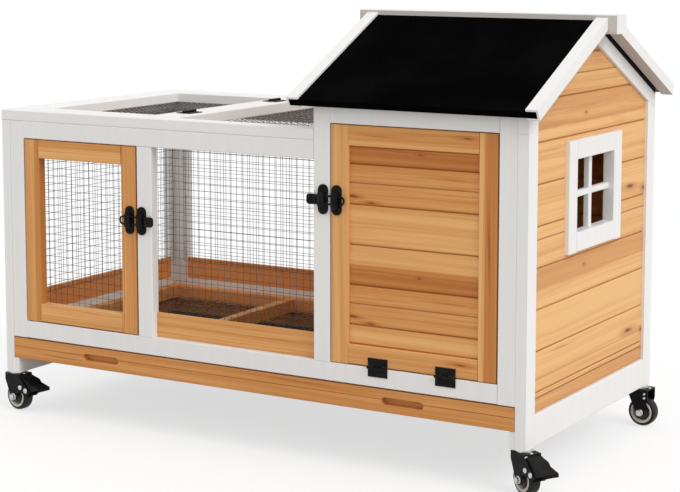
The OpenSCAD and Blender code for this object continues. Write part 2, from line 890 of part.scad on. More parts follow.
module house_door_rails() {
    a = house_door[0];
    b = house_door[1];
    g = joint_gap;
    placed() color(pine)
        for (z = [a[1], b[1] - stile_w])
            timber([a[0] + stile_w + g, 0, z], [b[0] - stile_w - g, timber_t, z + stile_w], "x");
}

module house_door_planks() {
    in = stile_w + joint_gap;
    a = house_door[0];
    b = house_door[1];
    placed() color(pine)
        plank_stack([a[0] + in, plank_recess, a[1] + in], [b[0] - in, plank_recess + plank_t, b[1] - in],
            "-y", joints_from(door_joint_z, plank_h));
}

// ---- Latches ------------------------------------------------------------------------

// Seen from the front: the frame plate's middle is the origin, the door lies towards +X
guide_w = 11;
guide_h = 24;

module latch_plate() {
    r = latch_w / 2;
    difference() {
        union() {
            rotate([90, 0, 0])
                linear_extrude(latch_t) {
                    translate([-r, r - latch_h / 2]) square([latch_w, latch_h - latch_w]);
                    for (s = [-1, 1])
                        translate([0, s * (latch_h / 2 - r)]) circle(r = r);
                }
            translate([-guide_w / 2, -loop_out - loop_r - 1.6, -guide_h / 2])
                cube([guide_w, loop_out + loop_r + 1.6 - latch_t / 2, guide_h]);
        }
        translate([-latch_w, -loop_out, 0])
            rotate([90, 0, 90])
                linear_extrude(2 * latch_w) {
                    square([2 * (loop_r + pin_clear), 2 * loop_half], center = true);
                    for (s = [-1, 1])
                        translate([0, s * loop_half]) circle(r = loop_r + pin_clear);
                }
    }
}

// The loop: two bars, a half-round end past the door's plate and a pull tab at the other end
module latch_loop() {
    straight = loop_end - loop_half - loop_r;
    translate([0, -loop_out, 0]) {
        for (s = [-1, 1])
            translate([-tab_end + 2, 0, s * loop_half])
                rotate([0, 90, 0]) cylinder(r = loop_r, h = straight + tab_end - 2);
        translate([straight, 0, 0])
            rotate([90, 0, 0])
                rotate([0, 0, -90])
                    rotate_extrude(angle = 180) translate([loop_half, 0]) circle(r = loop_r);
        pull_tab();
    }
}

// A pad with rounded outer corners and a dimple for the thumb
module pull_tab() {
    corner = tab_size[1] / 3;
    difference() {
        translate([0, tab_size[2] / 2, 0])
            rotate([90, 0, 0])
                linear_extrude(tab_size[2]) {
                    translate([corner - tab_end, -tab_size[1] / 2])
                        square([tab_size[0] - corner, tab_size[1]]);
                    translate([-tab_end, corner - tab_size[1] / 2])
                        square([corner, tab_size[1] - 2 * corner]);
                    for (s = [-1, 1])
                        translate([corner - tab_end, s * (tab_size[1] / 2 - corner)]) circle(r = corner);
                }
        translate([1.3 * corner - tab_end, -tab_size[2] / 2 - 4.2, 0]) sphere(r = 5);
    }
}

latch_a_x = post_l + 10.3;
latch_b_x = house_post_r - 12;

module at_latch_a() {
    translate([latch_a_x, -joint_gap / 2, latch_a_z]) mirror([1, 0, 0]) children();
}

module at_latch_b() {
    translate([latch_b_x, -joint_gap / 2, latch_b_z]) children();
}

module latch_frame_plates() {
    placed() color(black) {
        at_latch_a() latch_plate();
        at_latch_b() latch_plate();
    }
}

module mesh_door_keeper() {
    placed() color(black) at_latch_a() translate([latch_pitch, 0, 0]) latch_plate();
}

module mesh_door_loop() {
    placed() color(black) at_latch_a() latch_loop();
}

module house_door_keeper() {
    placed() color(black) at_latch_b() translate([latch_pitch, 0, 0]) latch_plate();
}

module house_door_loop() {
    placed() color(black) at_latch_b() latch_loop();
}

// ---- Drawer -------------------------------------------------------------------------

drawer_x0 = in_l + 1;
drawer_x1 = in_r - 1;
drawer_back = in_back - 6;

module finger_slot(x) {
    r = slot_size[1] / 2;
    half = slot_size[0] / 2 - r;
    translate([x, slot_depth, drawer_z + drawer_h / 2])
        rotate([90, 0, 0])
            linear_extrude(slot_depth + 1) {
                translate([-half, -r]) square([2 * half, 2 * r]);
                for (s = [-1, 1])
                    translate([s * half, 0]) circle(r = r);
            }
}

// Front board with two finger slots and a shallow groove along its face
module drawer_front() {
    groove = 1.2;
    placed() color(pine)
        difference() {
            timber([drawer_x0, 0, drawer_z], [drawer_x1, timber_t, drawer_z + drawer_h], "x");
            for (s = [-1, 1])
                finger_slot(body_l / 2 + s * slot_offset);
            translate([drawer_x0 - 1, -groove / sqrt(2), drawer_z + groove_up])
                rotate([-45, 0, 0]) cube([drawer_x1 - drawer_x0 + 2, groove, groove]);
        }
}

module drawer_walls() {
    g = joint_gap;
    z1 = drawer_z + drawer_wall_h;
    t = drawer_wall_t;
    placed() color(pine) {
        for (x = [drawer_x0 + g, drawer_x1 - g - t])
            timber([x, timber_t + g, drawer_z], [x + t, drawer_back, z1], "y", 0.6);
        timber([drawer_x0 + 2 * g + t, drawer_back - t, drawer_z + drawer_bottom_t + g],
            [drawer_x1 - 2 * g - t, drawer_back, z1], "x", 0.6);
    }
}

module drawer_bottom() {
    in = 2 * joint_gap + drawer_wall_t;
    placed() color(dark_brown)
        translate([drawer_x0 + in, timber_t + joint_gap, drawer_z])
            cube([drawer_x1 - drawer_x0 - 2 * in, drawer_back - timber_t - joint_gap, drawer_bottom_t]);
}

// ---- Casters ------------------------------------------------------------------------

module at_caster(i) {
    placed() translate([stems[i][0], stems[i][1], 0]) rotate([0, 0, caster_yaw[i]]) children();
}

// Stem with its race flange above the crown and its riveted head below it
module caster_stems() {
    neck = crown_z - sheet_t - joint_gap;
    for (i = [0 : 3])
        at_caster(i) color(steel)
            rotate_extrude()
                polygon([[0, stem_l], [stem_r, stem_l], [stem_r, 0], [13, 0], [14, -1], [14, -race_t],
                    [stem_r, -race_t], [stem_r, neck], [7, neck], [6, neck - 2], [0, neck - 2]]);
}

// Side plate outlines in (trail, height): plain, and with the arm that carries the pedal's pin
module cheek_outline(braked) {
    top = crown_z - sheet_t;
    difference() {
        union() {
            polygon([[-15, top], [crown_end, top], [crown_end, -22], [caster_trail + 8, axle_z],
                [caster_trail - 8, axle_z], [-15, -15]]);
            translate([caster_trail, axle_z]) circle(r = 8);
            if (braked) {
                polygon([[crown_end - 12, top], [crown_end + 4, top - 3], [pedal_pin[0] + 5, pedal_pin[1] + 2],
                    [pedal_pin[0] - 1, pedal_pin[1] - 5], [caster_trail + 6, axle_z + 8]]);
                translate(pedal_pin) circle(r = 5.2);
            }
        }
        translate([caster_trail, axle_z]) circle(r = axle_r + pin_clear);
        if (braked)
            translate(pedal_pin) circle(r = pedal_pin_r + pin_clear);
    }
}

module upright(w0, w1) {
    translate([0, w1, 0]) rotate([90, 0, 0]) linear_extrude(w1 - w0) children();
}

module fork(i, braked) {
    at_caster(i) color(black) {
        translate([0, 0, crown_z - sheet_t])
            linear_extrude(sheet_t)
                difference() {
                    intersection() {
                        union() {
                            circle(r = crown_r, $fn = large_fn);
                            translate([0, -fork_w / 2]) square([crown_end, fork_w]);
                        }
                        translate([-crown_r, -fork_w / 2]) square([crown_r + crown_end, fork_w]);
                    }
                    circle(r = stem_r + pin_clear);
                }
        upright(fork_in, fork_w / 2) cheek_outline(braked);
        upright(-fork_w / 2, -fork_in) cheek_outline(braked);
    }
}

// Axle with a nut and a head, its two spacers, and on braked casters the pedal's pin
module axle(i, braked) {
    out = fork_w / 2 + joint_gap;
    at_caster(i) color(steel) {
        translate([caster_trail, 0, axle_z])
            rotate([90, 0, 0]) {
                cylinder(r = axle_r, h = fork_w + 10, center = true);
                translate([0, 0, out]) cylinder(r = 5.5, h = 5, $fn = 6);
                translate([0, 0, -out - 4]) cylinder(r = 5.5, h = 4, $fn = 6);
            }
        if (braked)
            translate([pedal_pin[0], 0, pedal_pin[1]])
                rotate([90, 0, 0]) {
                    cylinder(r = pedal_pin_r, h = fork_w + 2, center = true);
                    for (s = [0, 1])
                        mirror([0, 0, s]) translate([0, 0, out]) cylinder(r = 3.6, h = 1.8);
                }
    }
}

module at_wheel(i) {
    at_caster(i) translate([caster_trail, 0, axle_z]) rotate([90, 0, 0]) children();
}

module tyre(i) {
    half = wheel_w / 2;
    at_wheel(i) color(black)
        rotate_extrude($fn = large_fn)
            polygon([[hub_r, -half], [wheel_r - 3, -half], [wheel_r - 0.8, 2 - half], [wheel_r, 4.5 - half],
                [wheel_r, half - 4.5], [wheel_r - 0.8, half - 2], [wheel_r - 3, half], [hub_r, half]]);
}

// Hub: a rim and a dished web on a boss that reaches the fork's cheeks
module hub(i) {
    half = wheel_w / 2;
    boss = fork_in - 0.3;
    r0 = axle_r + pin_clear;
    rim = hub_r - 0.1;
    at_wheel(i) color(cream)
        rotate_extrude($fn = large_fn)
            polygon([[r0, -boss], [7.5, -boss], [7.5, -3], [rim - 3.5, -3], [rim - 3.5, -half], [rim, -half],
                [rim, half], [rim - 3.5, half], [rim - 3.5, 3], [7.5, 3], [7.5, boss], [r0, boss]]);
}

// Brake pedal: a bent plate between the cheeks, two side flanges on the pin, and a shoe that
// stands just behind the tread. At rest the brake is on.
module pedal(i) {
    half = pedal_w / 2;
    t = sheet_t;
    shoe_gap = 0.4;
    at_caster(i) color(black) {
        upright(-half, half)
            polygon([[crown_end + 1.2, -7], [43, -12.4], [48.5, -18], [pedal_reach, -23], [pedal_reach, -29],
                [pedal_reach - t, -29], [pedal_reach - t, -25], [47.5, -20.2], [42, -14.6], [crown_end + 1.2, -9.2]]);
        for (w = [-half, half - t])
            upright(w, w + t)
                difference() {
                    union() {
                        polygon([[crown_end + 3, -8.5], [42, -13.5], [48, -19], [pedal_reach - 4, -24],
                            [pedal_reach - 8, -27], [44, -33], [36, -42], [32, -42], [28, -26]]);
                        translate(pedal_pin) circle(r = 5);
                    }
                    translate(pedal_pin) circle(r = pedal_pin_r + pin_clear);
                }
        upright(-half + t - 0.5, half - t + 0.5)
            difference() {
                polygon([[27, -35], [34, -35], [37.5, -42], [27, -44]]);
                translate([caster_trail, axle_z]) circle(r = wheel_r + shoe_gap);
            }
    }
}

// ---- Draw ---------------------------------------------------------------------------

left_end_frame();
right_end_frame();
right_end_planks();
window_frame();
window_bars();
front_frame();
back_frame();
house_back_planks();
inner_wall_frame();
inner_wall_planks();
top_frame();
fixed_nets();
kick_boards();
support_strips();
floor_frame();
house_floor();
roof_boards();
roof_felts();
roof_edge_channels();
ridge_beam();
latch_frame_plates();
frame_hinge_parts();
caster_stems();
lid_frame();
lid_net();
lid_hinge_leaves();
mesh_door_stiles();
mesh_door_rails();
mesh_door_net();
mesh_door_keeper();
mesh_door_loop();
house_door_stiles();
house_door_rails();
house_door_planks();
house_door_hinge_leaves();
house_door_keeper();
house_door_loop();
drawer_front();
drawer_walls();
drawer_bottom();
fork(0, true);  // fork_fl
axle(0, true);  // axle_fl
tyre(0);  // tyre_fl
hub(0);  // hub_fl
pedal(0);  // pedal_fl
fork(1, true);  // fork_fr
axle(1, true);  // axle_fr
tyre(1);  // tyre_fr
hub(1);  // hub_fr
pedal(1);  // pedal_fr
fork(2, false);  // fork_bl
axle(2, false);  // axle_bl
tyre(2);  // tyre_bl
hub(2);  // hub_bl
fork(3, false);  // fork_br
axle(3, false);  // axle_br
tyre(3);  // tyre_br
hub(3);  // hub_br
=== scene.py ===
"""Outdoor rabbit run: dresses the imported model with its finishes, nets, latches and casters."""

import math
from functools import cache

import bmesh
import bpy
import numpy as np
from bpy.props import FloatProperty, FloatVectorProperty, IntProperty, PointerProperty
from bpy.types import NodeSocket, Operator, Panel, PropertyGroup
from mathutils import Euler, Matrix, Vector


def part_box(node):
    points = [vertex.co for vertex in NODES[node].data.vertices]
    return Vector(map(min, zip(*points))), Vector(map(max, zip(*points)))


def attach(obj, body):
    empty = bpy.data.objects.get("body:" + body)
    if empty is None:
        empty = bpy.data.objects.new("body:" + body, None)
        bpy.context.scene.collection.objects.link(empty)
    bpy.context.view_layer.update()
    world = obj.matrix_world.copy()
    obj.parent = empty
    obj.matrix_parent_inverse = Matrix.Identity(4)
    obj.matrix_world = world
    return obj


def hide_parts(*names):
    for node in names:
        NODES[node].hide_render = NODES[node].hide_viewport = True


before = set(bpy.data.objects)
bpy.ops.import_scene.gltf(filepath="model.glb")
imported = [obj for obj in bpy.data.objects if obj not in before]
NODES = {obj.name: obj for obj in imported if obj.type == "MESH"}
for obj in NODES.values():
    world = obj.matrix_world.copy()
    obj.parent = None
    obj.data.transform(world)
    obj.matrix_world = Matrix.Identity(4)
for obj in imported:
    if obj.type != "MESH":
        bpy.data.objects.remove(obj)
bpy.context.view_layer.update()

bl_info = {
    "name": "Rabbit Run Dresser",
    "version": (1, 0, 0),
    "blender": (4, 5, 0),
    "location": "View3D > Sidebar > Rabbit Run",
    "description": "Builds the finishes and small parts of an outdoor rabbit run",
    "category": "Object",
}

CORNERS = ("fl", "fr", "bl", "br")
BRAKED = ("fl", "fr")

# Places in this file are metres from the front left corner of the leg feet
FOOT = tuple(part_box("left_end_frame")[0])
ROOF_MIDDLE = 0.252
ROOF_SLOPE = math.radians(26.0)
PLANK = 0.064


def from_foot(x, y, z):
    """A place given from the foot's corner, in the model's frame."""
    return FOOT[0] + x, FOOT[1] + y, FOOT[2] + z


def look():
    """The sizes and colours that a user may change."""
    return bpy.context.scene.rabbit_run


# ---- Meshes from numpy ----

def grid(points, close_u=False, close_v=False, capped=False):
    """Faces over an (n, m, 3) grid of points, which may close on itself along either side.
    The first and last row may be capped by one face each. Returns (vertices, faces)."""
    n, m = points.shape[:2]
    index = np.arange(n * m).reshape(n, m)
    rows = np.arange(n if close_u else n - 1)
    cols = np.arange(m if close_v else m - 1)
    i, j = np.meshgrid(rows, cols, indexing="ij")
    a, b = index[i, j], index[(i + 1) % n, j]
    c, d = index[(i + 1) % n, (j + 1) % m], index[i, (j + 1) % m]
    faces = np.stack([a, b, c, d], -1).reshape(-1, 4).tolist()
    if capped:
        faces += [index[0].tolist(), index[-1][::-1].tolist()]
    return points.reshape(-1, 3), faces


def together(parts):
    """Puts several (vertices, faces) parts into one, with the faces' numbers moved on."""
    verts, faces, start = [], [], 0
    for v, f in parts:
        verts.append(v)
        faces.extend([[k + start for k in face] for face in f])
        start += len(v)
    return np.concatenate(verts), faces


def copies(part, places):
    """One part repeated at each 4 by 4 placement: p' = M p."""
    v, f = part
    h = np.concatenate([v, np.ones((len(v), 1))], 1)
    return together([((h @ m.T)[:, :3], f) for m in places])


def moved(part, m):
    """One part at one placement."""
    return copies(part, [m])


def place(x=0.0, y=0.0, z=0.0, turn=0.0, tip=0.0):
    """A 4 by 4 placement: tip about X, then turn about Z, both in degrees, then move."""
    a, b = math.radians(turn), math.radians(tip)
    rx = np.array([[1, 0, 0], [0, math.cos(b), -math.sin(b)], [0, math.sin(b), math.cos(b)]])
    rz = np.array([[math.cos(a), -math.sin(a), 0], [math.sin(a), math.cos(a), 0], [0, 0, 1]])
    m = np.eye(4)
    m[:3, :3] = rz @ rx
    m[:3, 3] = (x, y, z)
    return m


def circle(count):
    """Cosines and sines of even steps round a circle."""
    t = np.linspace(0, 2 * np.pi, count, endpoint=False)
    return np.cos(t), np.sin(t)


def lathe(profile, segments, ring=False):
    """Turns an (n, 2) outline of radius and height about the Z axis: x = r cos t, y = r sin t,
    z = h. A ring's outline is a closed loop, so that the turned shape has a hole."""
    profile = np.asarray(profile, float)
    c, s = circle(segments)
    r, h = profile[:, :1], profile[:, 1:]
    points = np.stack([r * c, r * s, np.broadcast_to(h, (len(profile), segments))], -1)
    return grid(points, close_u=ring, close_v=True, capped=not ring)


def tube(path, radius, sides):
    """A round bar along a path that lies in one plane y = constant: at each point the ring
    is spanned by the path's normal in that plane and by Y."""
    along = np.gradient(path, axis=0)
    along /= np.linalg.norm(along, axis=1, keepdims=True)
    up = np.array([0.0, 1.0, 0.0])
    side = np.cross(along, up)
    c, s = (values[None, :, None] for values in circle(sides))
    return grid(path[:, None] + radius * (side[:, None] * c + up * s), close_v=True, capped=True)


def rounded_outline(width, height, radius, per_corner):
    """Points round a rectangle with round corners, from corner centres plus radius (cos t, sin t),
    and the outward direction (cos t, sin t) at each."""
    a = np.linspace(0, np.pi / 2, per_corner)
    centres = np.array([[1, 1], [-1, 1], [-1, -1], [1, -1]]) * [width / 2 - radius, height / 2 - radius]
    angle = (np.arange(4)[:, None] * np.pi / 2 + a).ravel()
    normal = np.stack([np.cos(angle), np.sin(angle)], 1)
    return np.repeat(centres, per_corner, 0) + radius * normal, normal


def blend_rings(outer, inner, layers):
    """Rings between two closed outlines of (x, z) points: ring = (1 - s) outer + s inner, at the
    depth y. Layers are pairs of s and y, from the back of the piece round to its front."""
    s, depth = np.asarray(layers, float).T[..., None]
    flat = (1 - s[..., None]) * outer + s[..., None] * inner
    points = np.stack([flat[..., 0], np.broadcast_to(depth, flat.shape[:2]), flat[..., 1]], -1)
    return grid(points, close_v=True, capped=True)


def screw_head(radius, height, recess):
    """A domed head with a cross recess: rings whose radius shrinks upwards, and two inner
    rings whose radius follows a four-armed cross, the last one sunk below the dome."""
    segments = 24
    c, s = circle(segments)
    cross = recess * np.where(np.arange(segments) % 6 == 0, 1.0, 0.36)
    rings = [(radius, 0.0), (radius, 0.35 * height), (0.86 * radius, 0.75 * height),
             (0.62 * radius, height), (cross, height), (0.8 * cross, 0.35 * height)]
    points = np.stack([np.stack([r * c, r * s, np.full(segments, h)], -1) for r, h in rings])
    return grid(points, close_v=True, capped=True)


def wires(starts, ends, radius, bow, rng, pieces=8, sides=6):
    """Straight wires with a slight bow: point = start + s (end - start) + bow sin(pi s) n,
    where n is a small random direction for each wire. Each is a tube of a few sides."""
    s = np.linspace(0, 1, pieces + 1)[None, :, None]
    along = (ends - starts) / np.linalg.norm(ends - starts, axis=1, keepdims=True)
    up = np.where(np.abs(along[:, 2:3]) > 0.9, [[1.0, 0.0, 0.0]], [[0.0, 0.0, 1.0]])
    u = np.cross(along, up)
    u /= np.linalg.norm(u, axis=1, keepdims=True)
    v = np.cross(along, u)
    drift = rng.normal(0, bow, (len(starts), 2))
    n = drift[:, :1] * u + drift[:, 1:] * v
    path = starts[:, None] + s * (ends - starts)[:, None] + np.sin(np.pi * s) * n[:, None]
    across, upward = (values[None, :, None] for values in circle(sides))
    points = path[:, :, None] + radius * (across * u[:, None] + upward * v[:, None])[:, None]
    return together([grid(p, close_v=True, capped=True) for p in points])


def new_piece(name, part, body, material, smooth=35.0, replaces=()):
    """Makes an object from a part, shades it smooth up to an angle and puts it on its body."""
    verts, faces = part
    mesh = bpy.data.meshes.new(name)
    mesh.from_pydata(verts.tolist(), [], faces)
    mesh.validate()
    made = bmesh.new()
    made.from_mesh(mesh)
    bmesh.ops.recalc_face_normals(made, faces=made.faces)
    made.to_mesh(mesh)
    made.free()
    mesh.shade_smooth()
    mesh.set_sharp_from_angle(angle=math.radians(smooth))
    put(name, mesh, body, material, replaces)


def put(name, mesh, body, material, replaces=()):
    """Links a finished mesh and says what it rides on and what it stands for."""
    obj = bpy.data.objects.new(name, mesh)
    bpy.context.scene.collection.objects.link(obj)
    mesh.materials.clear()
    mesh.materials.append(material)
    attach(obj, body)
    if replaces:
        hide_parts(*replaces)
    return obj


def eased_copy(node, name, body, material, width):
    """A merged copy of a node's mesh with its flat faces joined and its edges rounded."""
    mesh = NODES[node].data.copy()
    mesh.name = name
    made = bmesh.new()
    made.from_mesh(mesh)
    bmesh.ops.remove_doubles(made, verts=made.verts, dist=2e-6)
    bmesh.ops.dissolve_limit(made, angle_limit=math.radians(1.0), verts=made.verts, edges=made.edges)
    made.to_mesh(mesh)
    made.free()
    mesh.shade_smooth()
    bevel = put(name, mesh, body, material, (node,)).modifiers.new("Rounded edges", "BEVEL")
    bevel.width = width
    bevel.segments = 2
    bevel.limit_method = "ANGLE"
    bevel.angle_limit = math.radians(40)
    bevel.harden_normals = False
    mesh.set_sharp_from_angle(angle=math.radians(38))


# ---- Node trees ----

class Tree:
    """Short calls that add nodes to one node tree and join them. A value may be a socket."""

    def __init__(self, tree):
        self.tree = tree

    def fill(self, sockets, values):
        """Links or sets sockets by name or number. Colours are given as red, green and blue."""
        for key, value in values.items():
            socket = sockets[key]
            if isinstance(value, NodeSocket):
                self.tree.links.new(value, socket)
            elif socket.type == "RGBA":
                socket.default_value = (*value, 1.0)
            else:
                socket.default_value = value

    def node(self, kind, inputs=None, **settings):
        made = self.tree.nodes.new(kind)
        for key, value in settings.items():
            setattr(made, key, value)
        self.fill(made.inputs, inputs or {})
        return made

    def math(self, operation, a, b=0.0, c=0.0, clamp=False):
        made = self.node("ShaderNodeMath", {0: a, 1: b, 2: c}, operation=operation, use_clamp=clamp)
        return made.outputs[0]

    def times(self, first, *others):
        for value in others:
            first = self.math("MULTIPLY", first, value)
        return first

    def plus(self, a, b):
        return self.math("ADD", a, b)

    def minus(self, a, b):
        return self.math("SUBTRACT", a, b)

    def over(self, a, b):
        return self.math("DIVIDE", a, b)

    def line(self, value, slope, start):
        """start + slope value."""
        return self.math("MULTIPLY_ADD", value, slope, start)

    def gap(self, a, b):
        """The distance between two numbers."""
        return self.math("ABSOLUTE", self.minus(a, b))

    def length(self, a, b):
        """The square root of a a + b b."""
        return self.math("SQRT", self.plus(self.times(a, a), self.times(b, b)))

    def most(self, first, *others):
        for value in others:
            first = self.math("MAXIMUM", first, value)
        return first

    def step(self, value, low, high):
        """A smooth step from 0 where value is low to 1 where it is high."""
        return self.node("ShaderNodeMapRange", {"Value": value, "From Min": low, "From Max": high},
                         interpolation_type="SMOOTHSTEP").outputs[0]

    def mix(self, factor, a, b):
        """A colour from a to b."""
        return self.node("ShaderNodeMix", {0: factor, 6: a, 7: b}, data_type="RGBA").outputs[2]

    def noise(self, vector, scale, detail=2.0, roughness=0.5):
        return self.node("ShaderNodeTexNoise", {"Vector": vector, "Scale": scale, "Detail": detail,
                                                "Roughness": roughness}).outputs[0]

    def chance(self, seed):
        """A random number and colour for each whole value of the seed."""
        return self.node("ShaderNodeTexWhiteNoise", {"W": seed}, noise_dimensions="1D").outputs

    def stretch(self, vector, x, y, z):
        return self.node("ShaderNodeMapping", {"Vector": vector, "Scale": (x, y, z)}).outputs[0]

    def split(self, vector):
        return self.node("ShaderNodeSeparateXYZ", {0: vector}).outputs

    def join(self, x, y, z=0.0):
        return self.node("ShaderNodeCombineXYZ", {0: x, 1: y, 2: z}).outputs[0]

    def group(self, made, vector, values):
        """The outputs of a shared group that works on a vector."""
        return self.node("ShaderNodeGroup", {"Vector": vector, **values}, node_tree=made).outputs


def make_group(name, inputs, outputs):
    """A node group made with interface.new_socket: a socket named Vector is one, and the others
    are numbers. Returns its tree, the sockets that bring values in and those that take them out."""
    group = bpy.data.node_groups.new(name, "ShaderNodeTree")
    for way, labels in (("INPUT", inputs), ("OUTPUT", outputs)):
        for label in labels:
            kind = "NodeSocketVector" if label == "Vector" else "NodeSocketFloat"
            group.interface.new_socket(name=label, in_out=way, socket_type=kind)
    t = Tree(group)
    return t, t.node("NodeGroupInput").outputs, t.node("NodeGroupOutput").inputs


@cache
def grain_group():
    """Fir grain for boards. The vector is in metres: X along the grain, Y across the board and
    Z into it. Boards change at every pitch from the joint. Rings are the sawtooth of the distance
    from a wandering heart line divided by the ring width, each with its own strength; streaks
    are broad and narrow noises drawn out along X, and fibre is the finest of them."""
    t, given, out = make_group(
        "Fir grain", ("Vector", "Joint At", "Pitch", "Ring Width", "Seed"),
        ("Ring", "Fibre", "Streak", "Fine Streak", "Board Tone", "Joint", "Groove Shade"))
    vector, joint_at, pitch, ring_width, seed = list(given)[:5]
    x, y, z = t.split(vector)
    cell = t.over(t.minus(y, joint_at), pitch)
    board = t.plus(t.math("FLOOR", cell), seed)
    place_in = t.times(t.math("FRACT", cell), pitch)
    local = t.minus(place_in, t.times(pitch, 0.5))
    tone, luck = t.chance(t.line(board, 7.31, 3.17))
    aside, deeper = t.node("ShaderNodeSeparateColor", {0: luck}).outputs[:2]
    along = t.plus(x, t.times(board, 3.7))
    drift = t.minus(t.noise(t.join(t.times(along, 2.1), t.times(board, 5.3)), 1.0, 1.0), 0.5)
    across = t.plus(t.minus(local, t.times(t.minus(aside, 0.5), 0.09)), t.times(drift, 0.05))
    depth = t.plus(t.line(deeper, 0.07, 0.01), z)
    ripple = t.minus(t.noise(t.stretch(vector, 5.0, 70.0, 70.0), 1.0, 3.0, 0.6), 0.5)
    turns = t.over(t.plus(t.length(across, depth), t.times(ripple, 0.0075)), ring_width)
    phase = t.math("FRACT", turns)
    strength = t.chance(t.plus(t.math("FLOOR", turns), t.times(board, 31.0)))["Value"]
    ring = t.times(t.step(phase, 0.25, 0.9), t.step(phase, 1.0, 0.93))
    wavy = t.plus(y, t.times(drift, 0.02))

    def streaks(scale_along, scale_over, detail):
        spot = t.join(t.times(along, scale_along), t.times(wavy, scale_over), t.times(z, scale_over * 0.4))
        return t.minus(t.noise(spot, 1.0, detail, 0.6), 0.5)

    t.fill(out, {
        "Ring": t.times(ring, t.times(strength, strength)),
        "Fibre": t.noise(t.stretch(vector, 14.0, 950.0, 950.0), 1.0, 3.0, 0.6),
        "Streak": streaks(1.1, 62.0, 2.0),
        "Fine Streak": streaks(3.0, 290.0, 3.0),
        "Board Tone": tone,
        "Joint": t.step(t.minus(t.times(pitch, 0.5), t.math("ABSOLUTE", local)), 0.0014, 0.0004),
        # Painted shade on the groove's bevel, just above each joint.
        "Groove Shade": t.step(place_in, 0.009, 0.0008),
    })
    return t.tree


@cache
def knot_group():
    """One knot or short mineral streak. Its distance is that of an ellipse, longer along the
    grain, roughened by noise: the core is inside 1, the halo fades out to 3.4, and the vector
    is pushed away from the knot so that the lines of the grain part round it."""
    t, given, out = make_group("Fir knot", ("Vector", "Along", "Across", "Length", "Width"),
                               ("Vector", "Core", "Halo"))
    vector, along, across, length, width = list(given)[:5]
    x, y, z = t.split(vector)
    dx, dy = t.minus(x, along), t.minus(y, across)
    tilted = t.plus(dy, t.times(dx, 0.03))
    rough = t.times(t.minus(t.noise(t.stretch(vector, 160.0, 520.0, 300.0), 1.0, 2.0), 0.5), 1.1)
    distance = t.plus(t.length(t.over(dx, length), t.over(tilted, width)), rough)
    halo = t.step(distance, 3.4, 0.5)
    t.fill(out, {"Vector": t.join(x, t.plus(y, t.times(halo, dy, -0.45)), z),
                 "Core": t.step(distance, 1.15, 0.25), "Halo": halo})
    return t.tree


@cache
def marks_group():
    """Uneven handling marks: a cloud of noise and a finer fleck, both 0 to 1."""
    t, given, out = make_group("Handling", ("Vector", "Cloud Scale", "Fleck Scale"), ("Cloud", "Fleck"))
    vector, cloud_scale, fleck_scale = list(given)[:3]
    t.fill(out, {"Cloud": t.noise(vector, cloud_scale, 3.0, 0.55),
                 "Fleck": t.noise(vector, fleck_scale, 2.0, 0.6)})
    return t.tree


class Surface(Tree):
    """A material's tree: one Principled shader, whose constants are set on its own sockets, and
    the object's coordinates."""

    def __init__(self, name, **plain):
        self.material = bpy.data.materials.new(name)
        self.material.use_nodes = True
        super().__init__(self.material.node_tree)
        self.tree.nodes.clear()
        constants = {key.replace("_", " "): value for key, value in plain.items()}
        self.shader = self.node("ShaderNodeBsdfPrincipled", constants)
        self.node("ShaderNodeOutputMaterial", {"Surface": self.shader.outputs[0]})
        self.coords = self.node("ShaderNodeTexCoord").outputs["Object"]

    def marks(self, cloud_scale, fleck_scale):
        """The cloud and the fleck of the handling marks."""
        return self.group(marks_group(), self.coords,
                          {"Cloud Scale": cloud_scale, "Fleck Scale": fleck_scale})

    def spot(self):
        """X, Y and Z from the corner of the foot."""
        shifted = self.node("ShaderNodeMapping", {"Vector": self.coords, "Location": [-v for v in FOOT]})
        return self.split(shifted.outputs[0])

    def board(self, axes, fold=None):
        """The spot as a vector along, across and into a board, and across by itself. Axes names
        the three. With a fold (start, length), across = (across - start) modulo length."""
        spot = dict(zip("xyz", self.spot()))
        along, across, into = (spot[axis] for axis in axes)
        if fold:
            across = self.math("FLOORED_MODULO", self.minus(across, fold[0]), fold[1])
        return self.join(along, across, into), across

    def finish(self, colour, roughness, height=None, strength=0.2, distance=0.0003):
        """Joins the colour, the roughness and any bump to the shader."""
        joined = {"Base Color": colour, "Roughness": roughness}
        if height is not None:
            bump = self.node("ShaderNodeBump", {"Strength": strength, "Distance": distance, "Height": height})
            joined["Normal"] = bump.outputs[0]
        self.fill(self.shader.inputs, joined)
        return self.material


def shade(colour, share, lift=0.0):
    """A colour times a share, plus a lift."""
    return tuple(c * share + lift for c in colour)


# ---- Timber, paint and felt ----

STRAW = (0.9, 0.62, 0.32)
# Painted warm bounce light: redder and brighter than the stain, for parts in shade inside the run.
WARM_LIGHT_RED = (0.98, 0.34, 0.1)
# Dark stain for lines and joints, and painted shadow on the edges by the door and drawer gaps.
DARK_STAIN_AND_SHADOW = (0.2, 0.062, 0.018)
KNOT = (0.105, 0.03, 0.008)
# Painted shade: the white paint darkened to the grey-brown of faces out of the light.
PAINTED_SHADE = (0.482, 0.423, 0.387)


